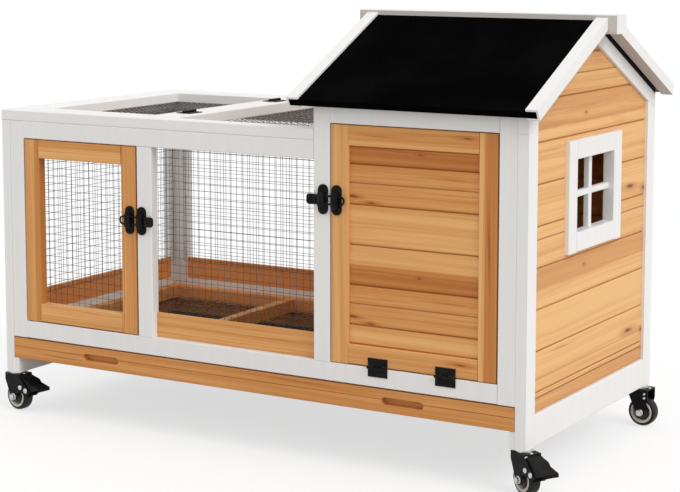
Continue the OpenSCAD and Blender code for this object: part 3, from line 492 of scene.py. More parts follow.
def honey_timber(name, axes, tone=0.2, joint_at=0.0, pitch=2.0, ring=0.0045, seed=0.0, spread=0.0,
                 joint=0.0, lip=0.0, bands=(), lines=(), knots=(), gap_shadow_edges=(), fold=None, streaks=1.0,
                 fade=0.0, painted_warm_light=None, felted=False):
    """Stained fir. One number from 0 to 1 runs from pale to deep honey and on to red-brown: it
    is the board's tone, plus each band (low, high, softness, amount) across the grain, plus the
    grain's streaks, rings and fibres, the groove shade, which is painted shade just above each
    joint, and the halo of each knot (along, across, length, width, strength). Lines (across, half
    width, strength) and joints are thin darker strips. Gap shadow edges are places across the board
    whose front edge is darkened with painted shadow of the gap round a door or drawer, fading out
    5 mm into the board. Fade mixes in pale straw, as on boards that the stain took less. Painted
    warm light (x, from y, to y, amount) mixes in a redder, brighter colour right of x and between
    the two depths: painted warm bounce light on parts in the shade inside the run."""
    t = Surface(name, Roughness=0.5, Specular_IOR_Level=0.22)
    vector, over = t.board(axes, fold)
    marks = []
    for along, across, length, width, strength in knots:
        vector, core, halo = t.group(
            knot_group(), vector, {"Along": along, "Across": across, "Length": length, "Width": width})
        marks.append((core, halo, strength))
    grain = t.group(grain_group(), vector,
                    {"Joint At": joint_at, "Pitch": pitch, "Ring Width": ring, "Seed": seed})
    level = t.line(t.minus(grain["Board Tone"], 0.5), spread, tone)
    for low, high, soft, amount in bands:
        inside = t.times(t.step(over, low - soft, low + soft), t.step(over, high + soft, high - soft))
        level = t.line(inside, amount, level)
    for effect, amount in ((grain["Streak"], 0.85 * streaks), (grain["Fine Streak"], 0.58 * streaks),
                           (grain["Ring"], 0.24), (t.minus(grain["Fibre"], 0.5), 0.22), (grain["Groove Shade"], lip)):
        level = t.line(effect, amount, level)
    for core, halo, strength in marks:
        level = t.line(halo, 0.55 * strength, level)
    twice = t.times(level, 2.0)
    colour = t.mix(t.math("MULTIPLY", twice, 1.0, clamp=True), look().honey_pale, look().honey_deep)
    colour = t.mix(t.math("SUBTRACT", twice, 1.0, clamp=True), colour, look().honey_streak)
    if fade:
        colour = t.mix(fade, colour, STRAW)
    # Painted warm bounce light on the parts in the shade inside the run.
    if painted_warm_light:
        left, front_y, back_y, amount = painted_warm_light
        x, y, z = t.spot()
        inside = t.times(t.step(y, front_y, front_y + 0.001), t.step(y, back_y, back_y - 0.001),
                         t.step(x, left, left + 0.001))
        colour = t.mix(t.times(inside, amount), colour, WARM_LIGHT_RED)
    for core, halo, strength in marks:
        colour = t.mix(t.times(core, 0.85 * strength), colour, KNOT)
    for where, half, strength in lines:
        near = t.step(t.gap(over, where), half * 1.6, half * 0.5)
        colour = t.mix(t.times(near, strength), colour, DARK_STAIN_AND_SHADOW)
    # Painted shadow of the gaps round the doors and drawer: the front edges darken, fading 5 mm in.
    front = t.step(t.split(vector)[2], 0.005, 0.0008) if gap_shadow_edges else None
    for where in gap_shadow_edges:
        near = t.step(t.gap(over, where), 0.0016, 0.0005)
        colour = t.mix(t.times(near, front, 0.92), colour, DARK_STAIN_AND_SHADOW)
    if joint:
        colour = t.mix(t.times(grain["Joint"], joint), colour, DARK_STAIN_AND_SHADOW)
    if felted:
        x, y, z = t.spot()
        outside = t.most(t.step(x, 1.0193, 1.0201), t.step(x, 0.6452, 0.6444),
                         t.step(y, -0.0006, -0.0014), t.step(y, 0.5046, 0.5054))
        colour = t.mix(outside, colour, look().felt)
    height = t.plus(t.times(grain["Ring"], -0.5), grain["Fibre"])
    return t.finish(colour, t.line(grain["Fibre"], 0.16, 0.44), height, 0.2, 0.0004)


def roof_height(t, spot):
    """Distance of a spot from the foot, square to the nearer roof slope: |y - middle| sin a + z cos a."""
    aside = t.gap(spot[1], ROOF_MIDDLE)
    return t.line(aside, math.sin(ROOF_SLOPE), t.times(spot[2], math.cos(ROOF_SLOPE)))


def felt_lap(t, spot):
    """Where the felt laps 9 mm down over the outer face of the gable's sloping rails."""
    return t.times(t.step(spot[0], 1.019, 1.0196), t.step(roof_height(t, spot), 0.5644, 0.5652))


def channel_underside_shade(t, spot):
    """Painted shade on the lower face of the edge channels, below the roof boards."""
    return t.step(roof_height(t, spot), 0.5712, 0.5706)


def ridge_front_shade(t, spot):
    """Painted shade on the front face of the ridge beam, at a 0.7 share."""
    return t.times(t.step(spot[1], 0.2327, 0.2322), 0.7)


def white_paint(name, axes, marked=None, tint=PAINTED_SHADE):
    """White paint over fir: a smooth film with faint brush lines and broad, soft shifts of tone.
    Marked gives the share of the tint at a spot: by default painted shade in grey-brown."""
    t = Surface(name, Roughness=0.5, Specular_IOR_Level=0.25)
    vector = t.board(axes)[0]
    cloud, fleck = t.marks(5.0, 380.0)
    brush = t.noise(t.stretch(vector, 6.0, 300.0, 300.0), 1.0, 3.0, 0.6)
    broad = t.noise(t.stretch(vector, 1.2, 45.0, 45.0), 1.0, 2.0, 0.5)
    amount = t.line(brush, 0.35, t.times(broad, 0.65))
    amount = t.step(t.line(cloud, 0.3, t.times(amount, 0.7)), 0.36, 0.66)
    colour = t.mix(amount, look().paint, shade(look().paint, 0.962))
    if marked:
        colour = t.mix(marked(t, t.spot()), colour, tint)
    height = t.plus(t.times(brush, 0.8), t.times(fleck, 0.35))
    return t.finish(colour, t.line(fleck, 0.14, 0.42), height, 0.1)


def roofing_felt():
    """Black mineral felt: fine faint specks over black, with a gritty bump."""
    t = Surface("Mineral felt", Roughness=0.95, Specular_IOR_Level=0.005)
    grit = t.node("ShaderNodeTexVoronoi", {"Vector": t.coords, "Scale": 520.0}).outputs
    speck = t.node("ShaderNodeSeparateColor", {0: grit["Color"]}).outputs[0]
    pale = t.times(t.step(speck, 0.86, 0.99), t.step(grit["Distance"], 0.6, 0.15))
    cloud = t.step(t.noise(t.coords, 11.0, 3.0), 0.35, 0.75)
    colour = t.mix(cloud, look().felt, shade(look().felt, 2.0))
    colour = t.mix(t.times(pale, 0.55), colour, (0.008, 0.008, 0.009))
    height = t.plus(t.times(grit["Distance"], -1.0), t.noise(t.coords, 260.0, 3.0))
    return t.finish(colour, t.line(pale, -0.2, 0.95), height, 0.35, 0.0006)


def tray_board():
    """Dark brown sealed board: close fibres and faint lengthwise bands."""
    t = Surface("Sealed tray board", Roughness=0.5, Specular_IOR_Level=0.25)
    fine = t.noise(t.stretch(t.coords, 30.0, 700.0, 30.0), 1.0, 3.0, 0.6)
    band = t.noise(t.stretch(t.coords, 1.5, 34.0, 1.5), 1.0, 3.0, 0.6)
    both = t.line(fine, 0.4, t.times(band, 0.6))
    colour = t.mix(t.step(both, 0.35, 0.65), (0.05, 0.017, 0.006), (0.1, 0.036, 0.013))
    return t.finish(colour, t.line(fine, 0.2, 0.4), fine, 0.15)


# ---- Metal, rubber and plastic ----

def worn(name, scales, levels, colours, rough, bump=None, **plain):
    """A surface that the cloud of the handling marks shifts from one colour to another between
    two levels. Rough is the mark that the roughness follows, its slope and its start. Any bump
    is the fleck's, with a strength and a distance."""
    t = Surface(name, **plain)
    marks = t.marks(*scales)
    mark, slope, start = rough
    colour = t.mix(t.step(marks["Cloud"], *levels), *colours)
    height = marks["Fleck"] if bump else None
    return t.finish(colour, t.line(marks[mark], slope, start), height, *(bump or ()))


@cache
def galvanised_wire():
    """Galvanised wire: dull zinc with darker patches."""
    return worn("Galvanised wire", (60.0, 900.0), (0.35, 0.65), (look().wire, shade(look().wire, 0.55)),
                ("Fleck", 0.3, 0.3), Metallic=0.7, Roughness=0.5)


@cache
def black_coat(name="Black powder coat", rough=0.42):
    """Black powder coat: fine orange peel, with slightly paler handled patches."""
    handled = shade(look().hardware, 2.0, 0.002)
    return worn(name, (40.0, 1400.0), (0.4, 0.7), (look().hardware, handled), ("Cloud", 0.22, rough - 0.1),
                (0.25, 0.0002), Roughness=rough, Specular_IOR_Level=0.1)


@cache
def bright_zinc():
    """Zinc-plated steel: pale metal with faint cloudy roughness."""
    return worn("Bright zinc", (180.0, 2200.0), (0.3, 0.7), ((0.66, 0.66, 0.65), (0.46, 0.46, 0.46)),
                ("Fleck", 0.2, 0.16), Metallic=1.0, Roughness=0.25)


@cache
def wheel_rubber():
    """Moulded black rubber with a trace of floor dust."""
    return worn("Wheel rubber", (55.0, 1100.0), (0.42, 0.8), ((0.005, 0.005, 0.005), (0.016, 0.015, 0.014)),
                ("Cloud", 0.3, 0.34), (0.2, 0.0003), Roughness=0.5, Specular_IOR_Level=0.25)


@cache
def cream_hub():
    """Cream moulded plastic, a little dull, with faint flow marks."""
    return worn("Cream hub", (70.0, 1500.0), (0.35, 0.8), (look().hub, shade(look().hub, 0.7)),
                ("Fleck", 0.15, 0.28), Roughness=0.35)


@cache
def dark_bearing():
    """The hub's dished web and bearing shield: near black plastic."""
    t = Surface("Bearing shield", Roughness=0.45)
    cloud, fleck = t.marks(120.0, 1500.0)
    return t.finish(t.mix(cloud, (0.012, 0.01, 0.009), (0.05, 0.042, 0.034)), t.line(fleck, 0.2, 0.32))


def finish_nodes(material, *names):
    """Gives CAD nodes their finish."""
    for name in names:
        data = NODES[name].data
        data.materials.clear()
        data.materials.append(material)


# ---- Properties ----

class RabbitRunLook(PropertyGroup):
    """Sizes and colours of the small parts and finishes."""

    honey_pale: FloatVectorProperty(name="Pale Honey", description="Early wood between the rings",
                                    subtype="COLOR", size=3, min=0, max=1, default=(0.83, 0.462, 0.178))
    honey_deep: FloatVectorProperty(name="Deep Honey", description="Late wood of the rings",
                                    subtype="COLOR", size=3, min=0, max=1, default=(0.625, 0.262, 0.073))
    honey_streak: FloatVectorProperty(name="Brown Streak", description="Mineral streaks and knot halos",
                                      subtype="COLOR", size=3, min=0, max=1, default=(0.47, 0.16, 0.036))
    paint: FloatVectorProperty(name="White Paint", description="Paint on the frames",
                               subtype="COLOR", size=3, min=0, max=1, default=(0.86, 0.852, 0.84))
    felt: FloatVectorProperty(name="Roofing Felt", description="Ground colour of the felt",
                              subtype="COLOR", size=3, min=0, max=1, default=(0.0015, 0.0015, 0.0016))
    wire: FloatVectorProperty(name="Net Wire", description="Zinc on the net",
                              subtype="COLOR", size=3, min=0, max=1, default=(0.1, 0.1, 0.1))
    hardware: FloatVectorProperty(name="Hardware", description="Powder coat on latches, hinges and casters",
                                  subtype="COLOR", size=3, min=0, max=1, default=(0.0045, 0.0045, 0.0048))
    hub: FloatVectorProperty(name="Wheel Hub", description="Moulded hub",
                             subtype="COLOR", size=3, min=0, max=1, default=(0.66, 0.62, 0.54))
    mesh_pitch: FloatProperty(name="Mesh", description="Distance between net wires",
                              unit="LENGTH", default=0.0127, min=0.006, max=0.05)
    wire_diameter: FloatProperty(name="Wire Diameter", description="Thickness of net wire",
                                 unit="LENGTH", default=0.00075, min=0.0005, max=0.0012)
    screw_radius: FloatProperty(name="Screw Head Radius", description="Heads on latches and hinges",
                                unit="LENGTH", default=0.0027, min=0.0015, max=0.004)
    wheel_segments: IntProperty(name="Wheel Segments", description="Facets round a wheel",
                                default=72, min=24, max=128)


# ---- Timber and paint operators ----

def plank_board(shift):
    """Looks of the house door's and back's planks, which repeat three boards: a plain one, one
    with knots and one with a split tone. The knots may be shifted along."""
    return dict(
        tone=0.15, pitch=PLANK, seed=5.0, spread=0.06, joint=0.55, lip=0.16, fold=(0.162, 3 * PLANK),
        bands=[(-0.001, PLANK, 0.0004, 0.23), (PLANK, 0.0965, 0.0018, 0.56)],
        lines=[(0.0345, 0.0009, 0.6)],
        knots=[(0.835 + shift, 0.0845, 0.004, 0.0018, 0.9), (0.715 + shift, 0.013, 0.0095, 0.002, 0.9),
               (0.748 + shift, 0.0042, 0.008, 0.0018, 0.8), (0.89 + shift, 0.05, 0.03, 0.0016, 0.3)])


# Each node's material, its axes along, across and into the board, and its looks
TIMBERS = {
    "right_end_planks": ("Gable planks fir", "yzx", dict(
        tone=0.07, joint_at=0.464, pitch=PLANK, seed=3.0, spread=0.1, joint=0.55, lip=0.12, fade=0.2,
        streaks=1.35,
        bands=[(0.4825, 0.5278, 0.0016, 0.4), (0.238, 0.2718, 0.0016, 0.38),
               (0.5282, 0.61, 0.001, 0.24), (0.2722, 0.341, 0.006, 0.12),
               (0.04, 0.072, 0.001, 0.3), (0.072, 0.096, 0.006, 0.14)],
        lines=[(0.561, 0.001, 0.7), (0.3165, 0.001, 0.75), (0.072, 0.001, 0.85), (0.101, 0.0012, 0.35)],
        knots=[(0.221, 0.497, 0.0045, 0.002, 0.8), (0.2216, 0.2533, 0.0045, 0.002, 0.8),
               (0.409, 0.3572, 0.019, 0.0042, 1.0), (0.469, 0.348, 0.008, 0.004, 1.0),
               (0.36, 0.364, 0.03, 0.0018, 0.35), (0.413, 0.1107, 0.019, 0.0042, 1.0),
               (0.469, 0.102, 0.005, 0.0035, 1.0), (0.13, 0.135, 0.04, 0.0016, 0.4)])),
    "inner_wall_planks": ("Inner wall fir", "yzx", dict(
        tone=0.45, joint_at=0.464, pitch=PLANK, seed=11.0, spread=0.5, joint=0.6, lip=0.1,
        painted_warm_light=(-1.0, -1.0, 1.0, 0.3))),
    "house_door_planks": ("Door planks fir", "xzy", plank_board(0.0)),
    "house_back_planks": ("Back planks fir", "xzy", plank_board(-0.02)),
    "mesh_door_stiles": ("Mesh door stiles fir", "zxy", dict(
        tone=0.3, joint_at=0.15, pitch=1.0, ring=0.005, gap_shadow_edges=[0.0497, 0.2935],
        bands=[(0.072, 0.083, 0.0008, 0.3), (0.05, 0.052, 0.0006, 0.2),
               (0.264, 0.2668, 0.0006, 0.22), (0.287, 0.294, 0.002, 0.12)])),
    "mesh_door_rails": ("Mesh door rails fir", "xzy", dict(
        tone=0.18, joint_at=0.25, pitch=1.0, ring=0.0048, seed=4.0, gap_shadow_edges=[0.0987],
        bands=[(0.408, 0.421, 0.003, 0.24), (0.0985, 0.109, 0.002, 0.16),
               (0.11, 0.1125, 0.0006, 0.2)])),
    "house_door_stiles": ("House door stiles fir", "zxy", dict(
        tone=0.1, joint_at=0.8, pitch=1.0, ring=0.0052, seed=7.0, gap_shadow_edges=[0.6767, 0.9703],
        bands=[(0.676, 0.6825, 0.001, 0.26), (0.696, 0.6985, 0.0008, 0.14),
               (0.9485, 0.971, 0.0016, 0.56)],
        knots=[(0.3076, 0.9558, 0.034, 0.0012, 0.6)])),
    "house_door_rails": ("House door rails fir", "xzy", dict(
        tone=0.34, joint_at=0.3, pitch=1.0, ring=0.0046, seed=2.0, gap_shadow_edges=[0.0987],
        bands=[(0.446, 0.4545, 0.0012, -0.2), (0.12, 0.132, 0.002, -0.14)],
        knots=[(0.9188, 0.469, 0.011, 0.0017, 0.75), (0.9084, 0.1198, 0.012, 0.002, 0.75),
               (0.76, 0.464, 0.03, 0.0012, 0.3)])),
    "drawer_front": ("Drawer front fir", "xzy", dict(
        tone=0.4, joint_at=-1.0, ring=0.0055, seed=1.0, gap_shadow_edges=[0.0658],
        bands=[(0.027, 0.0345, 0.002, 0.1), (0.056, 0.066, 0.004, 0.06)],
        lines=[(0.049, 0.0007, 0.4), (0.059, 0.0005, 0.25)],
        knots=[(0.12, 0.04, 0.05, 0.0016, 0.35), (0.61, 0.058, 0.06, 0.0014, 0.3)])),
    "drawer_walls": ("Drawer walls fir", "xzy", dict(tone=0.45, joint_at=-1.0, seed=6.0)),
    "kick_boards": ("Kick boards fir", "xzy", dict(
        tone=0.21, joint_at=-1.0, seed=8.0, painted_warm_light=(0.0135, 0.03, 0.4905, 0.6),
        bands=[(0.104, 0.1065, 0.0006, 0.22), (0.118, 0.12, 0.0006, 0.18)])),
    "floor_frame": ("Floor battens fir", "xyz", dict(
        tone=0.34, joint_at=0.011, pitch=0.037, seed=12.0, spread=0.3, painted_warm_light=(-1.0, 0.46, 1.0, 0.45))),
    "house_floor": ("House floor fir", "xyz", dict(
        tone=0.42, joint_at=0.02, pitch=0.09, seed=9.0, spread=0.4, joint=0.5)),
    "roof_boards": ("Roof boards fir", "xyz", dict(
        tone=0.34, joint_at=0.012, pitch=0.12, seed=14.0, spread=0.3, felted=True)),
}


class RUN_OT_honey_timber(Operator):
    """Stains the doors, planks, kick boards, floor and drawer like oiled fir"""

    bl_idname = "rabbit_run.honey_timber"
    bl_label = "Honey Timber"

    def execute(self, context):
        for node, (name, axes, looks) in TIMBERS.items():
            finish_nodes(honey_timber(name, axes, **looks), node)
        finish_nodes(tray_board(), "drawer_bottom")
        return {"FINISHED"}


class RUN_OT_white_paint(Operator):
    """Paints the frames, window, channels and ridge beam white"""

    bl_idname = "rabbit_run.white_paint"
    bl_label = "White Paint"

    def execute(self, context):
        finish_nodes(white_paint("White paint upright grain", "zxy"), "front_frame", "back_frame",
                     "left_end_frame", "inner_wall_frame", "window_frame", "window_bars")
        finish_nodes(white_paint("White paint long grain", "xyz"), "top_frame", "lid_frame")
        finish_nodes(white_paint("White paint cross grain", "yzx"), "support_strips")
        finish_nodes(white_paint("White paint gable", "zxy", felt_lap, look().felt), "right_end_frame")
        # Painted shade on the lower face of the edge channels.
        finish_nodes(white_paint("White paint channels with painted shade", "yzx", channel_underside_shade), "roof_edge_channels")
        # Painted shade on the front face of the ridge beam.
        finish_nodes(white_paint("White paint ridge with painted shade", "xyz", ridge_front_shade), "ridge_beam")
        return {"FINISHED"}


class RUN_OT_roof_felt(Operator):
    """Lays mineral felt on the roof"""

    bl_idname = "rabbit_run.roof_felt"
    bl_label = "Roof Felt"

    def execute(self, context):
        finish_nodes(roofing_felt(), "roof_felts")
        return {"FINISHED"}


# ---- Nets ----

WIRE_BOW = 0.00016
X_AXIS, Y_AXIS, Z_AXIS = np.eye(3)


def welded_net(corner, u, v, width, height, rng):
    """A welded net in the plane of unit vectors u and v: wires at an even pitch near the set
    mesh, those along u lying one diameter in front of those along v."""
    r = look().wire_diameter / 2
    across, upward = (max(1, round((size - 2 * r) / look().mesh_pitch)) for size in (width, height))
    feet = corner + np.cross(u, v) * r + np.linspace(r, width - r, across + 1)[:, None] * u
    lefts = corner - np.cross(u, v) * r + np.linspace(r, height - r, upward + 1)[:, None] * v
    return together([wires(feet, feet + height * v, r, WIRE_BOW, rng),
                     wires(lefts, lefts + width * u, r, WIRE_BOW, rng)])


def net_places():
    """Each net's name, body, the node it stands for and its corner, directions and size. The
    middle of a net's two layers of wire lies 1.05 mm behind the face that it is stapled to."""
    wall_low, wall_high, inner_x = 0.131, 0.4297, 0.653
    tall = wall_high - wall_low
    fixed = [
        ("net_left_end", (0.01925, 0.024, wall_low), Y_AXIS, Z_AXIS, 0.456, tall),
        ("net_front_window", (0.31725, 0.01925, wall_low), X_AXIS, Z_AXIS, inner_x - 0.31725, tall),
        ("net_back", (0.0405, 0.48475, wall_low), X_AXIS, Z_AXIS, inner_x - 0.0405, tall),
        ("net_top", (0.34425, 0.0225, 0.45075), X_AXIS, Y_AXIS, 0.278, 0.459),
        ("net_floor_left", (0.0282, 0.0282, 0.05765), X_AXIS, Y_AXIS, 0.27405, 0.4476),
        ("net_floor_right", (0.30425, 0.0282, 0.05765), X_AXIS, Y_AXIS, 0.34875, 0.4476),
    ]
    for name, corner, u, v, width, height in fixed:
        yield name, "run_body", "fixed_nets", from_foot(*corner), u, v, width, height
    for name, body, node, u, v in (("net_lid", "lid", "lid_net", X_AXIS, Y_AXIS),
                                   ("net_mesh_door", "mesh_door", "mesh_door_net", X_AXIS, Z_AXIS)):
        low, high = (np.array(corner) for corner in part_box(node))
        through = np.abs(np.cross(u, v))
        size = high - low
        yield name, body, node, low + through * size / 2, u, v, size @ u, size @ v


class RUN_OT_nets(Operator):
    """Welds the nets of round wire at their real mesh"""

    bl_idname = "rabbit_run.nets"
    bl_label = "Nets"

    def execute(self, context):
        rng = np.random.default_rng(11)
        for name, body, node, *spread in net_places():
            new_piece(name, welded_net(*spread, rng), body, galvanised_wire(), 70.0, (node,))
        return {"FINISHED"}


# ---- Latches and hinges ----

PLATE_LAYERS = [(0.0, 0.0), (0.0, -0.0022), (0.0006, -0.0031), (0.0017, -0.0036), (0.0034, -0.0037)]
GRIP_LAYERS = [(0.3, -0.0036), (0.06, -0.0039), (0.0, -0.0048), (0.0, -0.0074), (0.05, -0.0082),
               (0.14, -0.0086), (0.45, -0.0086), (0.6, -0.0083), (0.8, -0.0071), (1.0, -0.0063)]
LATCH_PITCH = 0.025
LOOP_OUT = -0.0062
PLATE_FACE = -0.0035
SCREW_OUT = 0.018


def strap_part(width, half, depth, slot):
    """The strap that a latch plate guides its loop with: a sleeve along X. Its outside and its
    slot are superellipses in Z and Y, z = a sgn(c) |c|^(2/p) and y = b sgn(s) |s|^(2/p), and its
    two ends are rounded over."""
    c, s = circle(48)

    def curve(a, b, power, y):
        z = a * np.sign(c) * np.abs(c) ** (2 / power)
        return np.stack([y + b * np.sign(s) * np.abs(s) ** (2 / power), z], 1)

    top, edge = -0.0095, 0.0008
    outside = curve(half, (depth - top) / 2, 4.5, (depth + top) / 2)
    inside = curve(slot[0], slot[1], 6.0, LOOP_OUT)
    drawn = outside + 0.16 * (inside - outside)
    w = width / 2
    rings = [(outside, edge - w), (outside, w - edge), (drawn, w), (inside, w), (inside, -w), (drawn, -w)]
    points = np.stack([np.stack([np.full(len(c), x), *ring.T], 1) for ring, x in rings])
    return grid(points, close_u=True, close_v=True)


def latch_plate_part():
    """One latch plate facing -Y: a thick pressed plate with round ends, a pressed rim inside its
    edge and a hollow strap that the loop runs through. A plate layer's first value is its inset."""
    outline, normal = rounded_outline(0.018, 0.048, 0.0088, 8)
    plate = blend_rings(outline, outline - normal, PLATE_LAYERS)
    return together([plate, strap_part(0.0118, 0.0122, -0.0022, (0.0084, 0.0019))])


def loop_part(toward):
    """The loop: a round bar out to the far plate, back round a half circle, and a moulded pad
    with a thumb dimple at the near end. toward is +1 or -1 along X."""
    half, straight, start = 0.0065, 0.0349, -0.024
    a = np.linspace(np.pi / 2, -np.pi / 2, 17)
    bend = np.stack([straight + half * np.cos(a), half * np.sin(a)], 1)
    lead = np.stack([np.linspace(start, straight, 8, endpoint=False), np.full(8, half)], 1)
    flat = np.concatenate([lead, bend, lead[::-1] * [1, -1]])
    path = np.stack([flat[:, 0] * toward, np.full(len(flat), LOOP_OUT), flat[:, 1]], 1)
    outline, normal = rounded_outline(0.0175, 0.017, 0.0052, 10)
    grip = moved(blend_rings(outline, 0.003 * normal, GRIP_LAYERS), place(x=-0.01825 * toward))
    return together([tube(path, 0.00158, 12), grip])


class RUN_OT_latches(Operator):
    """Makes the two latches: frame plates, door keepers and sliding loops with their screws"""

    bl_idname = "rabbit_run.latches"
    bl_label = "Latches"

    def execute(self, context):
        black, dark = black_coat(), black_coat("Blackened screw", 0.3)
        head = screw_head(look().screw_radius, 0.0014, look().screw_radius * 0.62)
        for door, toward in (("mesh_door", -1), ("house_door", 1)):
            low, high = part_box(door + "_keeper")
            x, y, z = 0.5 * (low[0] + high[0]), high[1], 0.5 * (low[2] + high[2])
            frame_x = x - LATCH_PITCH * toward
            plates = (("keeper", x, door, door + "_keeper"),
                      ("plate", frame_x, "run_body", "latch_frame_plates"))
            for side, at, body, node in plates:
                new_piece(door + "_latch_" + side, moved(latch_plate_part(), place(at, y, z)), body,
                          black, replaces=(node,))
            for side, at, body, node in plates:
                seats = [place(at, y + PLATE_FACE, z + dz, tip=90) for dz in (-SCREW_OUT, SCREW_OUT)]
                new_piece(f"{door}_{side}_screws", copies(head, seats), body, dark)
            new_piece(door + "_latch_loop", moved(loop_part(toward), place(frame_x, y, z)), door + "_bolt",
                      black, replaces=(door + "_loop",))
        return {"FINISHED"}


class RUN_OT_hinges(Operator):
    """Coats the butt hinges and drives their screws"""

    bl_idname = "rabbit_run.hinges"
    bl_label = "Hinges"

    def execute(self, context):
        finish_nodes(black_coat(), "frame_hinge_parts", "lid_hinge_leaves", "house_door_hinge_leaves")
        dark = black_coat("Blackened screw", 0.3)
        head = screw_head(look().screw_radius * 0.92, 0.0009, look().screw_radius * 0.55)
        leaf, leaf_width, half_length, from_pin, apart = 0.0012, 0.015, 0.0175, 0.0094, 0.0115
        planks_in = 0.005
        door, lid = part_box("house_door_hinge_leaves"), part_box("lid_hinge_leaves")
        pin_z = door[1][2] - leaf_width
        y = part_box("house_door_planks")[0][1] - planks_in - leaf
        ends = door[0][0] + half_length, door[1][0] - half_length
        across = [x + dx for x in ends for dx in (-apart, apart)]
        for body, name, dz in (("house_door", "upper", from_pin), ("run_body", "lower", -from_pin)):
            places = [place(x, y, pin_z + dz, tip=90) for x in across]
            new_piece("door_hinge_screws_" + name, copies(head, places), body, dark)
        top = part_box("top_frame")[1][2] + leaf
        ends = lid[0][1] + half_length, lid[1][1] - half_length
        along = [y0 + dy for y0 in ends for dy in (-apart, apart)]
        pin_x = lid[0][0] + leaf_width
        for body, name, dx in (("lid", "lid", -from_pin), ("run_body", "frame", from_pin)):
            places = [place(pin_x + dx, y0, top) for y0 in along]
            new_piece("lid_hinge_screws_" + name, copies(head, places), body, dark)
        return {"FINISHED"}


# ---- Casters ----

YAW = {"fl": -8.0, "fr": -30.0, "bl": -15.0, "br": -3.0}
CHEEK = 0.016


def wheel_frame(corner, tip=90.0):
    """Placement about a wheel's middle: with tip 90 the lathe's Z axis lies along the axle, and
    with tip 0 X is the caster's trail and Z is up."""
    low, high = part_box("tyre_" + corner)
    return place(*((a + b) / 2 for a, b in zip(low, high)), turn=YAW[corner], tip=tip)


def both_faces(outline, segments):
    """A ring turned from half an outline of radius and height and its mirror image."""
    return lathe(outline + [(r, -h) for r, h in reversed(outline)], segments, ring=True)


def tyre_part(segments):
    """Tread outline: flat crown, round shoulders, shallow side wall and a bead lip."""
    return both_faces([(0.0196, -0.0098), (0.0208, -0.01), (0.0222, -0.0098), (0.0236, -0.0088),
                       (0.0245, -0.0072), (0.02495, -0.005), (0.025, -0.0022)], segments)


def hub_parts(segments):
    """Hub rim on both faces with a rounded lip, and the dished web with its bearing boss."""
    rim = [(0.0197, -0.0096), (0.0194, -0.0102), (0.0187, -0.0105), (0.0168, -0.0104), (0.0158, -0.0098),
           (0.0152, -0.0084), (0.0148, -0.005)]
    web = [(0.0149, -0.0046), (0.0125, -0.0034), (0.01, -0.0036), (0.0092, -0.0062), (0.0082, -0.0068),
           (0.0072, -0.007), (0.0068, -0.011), (0.0058, -0.0134), (0.00312, -0.0136)]
    return both_faces(rim, segments), both_faces(web, segments)


def domed_head(radius, height):
    """A rivet's domed head: radius and height follow r = R cos a, h = H (0.25 + 0.75 sin a)."""
    a = np.linspace(0.0, 0.47 * np.pi, 7)
    profile = np.stack([radius * np.cos(a), height * (0.25 + 0.75 * np.sin(a))], 1)
    return lathe(np.concatenate([[[radius, 0.0]], profile]), 24)


def both_cheeks(part, trail, height):
    """A part set on the outside of both cheeks, at a trail and height from the axle."""
    return [moved(part, place(trail, side * CHEEK, height, tip=-90 * side)) for side in (-1, 1)]


def caster_fasteners(braked):
    """The bright small parts of a fork, about the middle of its axle: a washer under the nut and
    under the axle's head, the rivets of the cheeks and the one on the crown."""
    washer = lathe([(0.0064, 0.0), (0.0064, 0.0009), (0.0061, 0.0012), (0.003, 0.0012)], 32)
    parts = both_cheeks(washer, 0.0, 0.0)
    plain_rivet = (0.0024, 0.0013)
    if braked:
        rivets = (((0.0046, 0.0028), 0.032, 0.0153), ((0.0045, 0.0024), 0.018, 0.019))
    else:
        rivets = ((plain_rivet, 0.008, 0.0335), (plain_rivet, 0.008, 0.0265))
    for size, trail, height in rivets:
        parts += both_cheeks(domed_head(*size), trail, height)
    return together(parts + [moved(domed_head(0.0027, 0.0019), place(0.01105, 0.0, 0.0408))])


class RUN_OT_casters(Operator):
    """Makes the wheels, rounds the stamped forks and pedals and sets their rivets"""

    bl_idname = "rabbit_run.casters"
    bl_label = "Casters"

    def execute(self, context):
        segments = look().wheel_segments
        rim, web = hub_parts(segments)
        for corner in CORNERS:
            at, wheel, fork = wheel_frame(corner), "wheel_" + corner, "fork_" + corner
            new_piece("wheel_tyre_" + corner, moved(tyre_part(segments), at), wheel,
                      wheel_rubber(), 50.0, ("tyre_" + corner,))
            new_piece("wheel_rim_" + corner, moved(rim, at), wheel,
                      cream_hub(), 50.0, ("hub_" + corner,))
            new_piece("wheel_web_" + corner, moved(web, at), wheel, dark_bearing())
            eased_copy(fork, "caster_fork_" + corner, fork, black_coat(), 0.0006)
            if corner in BRAKED:
                eased_copy("pedal_" + corner, "brake_pedal_" + corner, "brake_" + corner,
                           black_coat(), 0.0005)
            eased_copy("axle_" + corner, "caster_axle_" + corner, fork, bright_zinc(), 0.0004)
            rivets = moved(caster_fasteners(corner in BRAKED), wheel_frame(corner, 0.0))
            new_piece("caster_rivets_" + corner, rivets, fork, bright_zinc(), 50.0)
        finish_nodes(bright_zinc(), "caster_stems")
        return {"FINISHED"}


# ---- Stage ----

def linked(name, data):
    """An object for some data, linked to the scene."""
    made = bpy.data.objects.new(name, data)
    bpy.context.scene.collection.objects.link(made)
    return made


def seen(t):
    """1 where the surface is looked at, and 0 where it only lights others."""
    path = t.node("ShaderNodeLightPath").outputs
    return t.most(path["Is Camera Ray"], path["Is Glossy Ray"], path["Is Transmission Ray"])


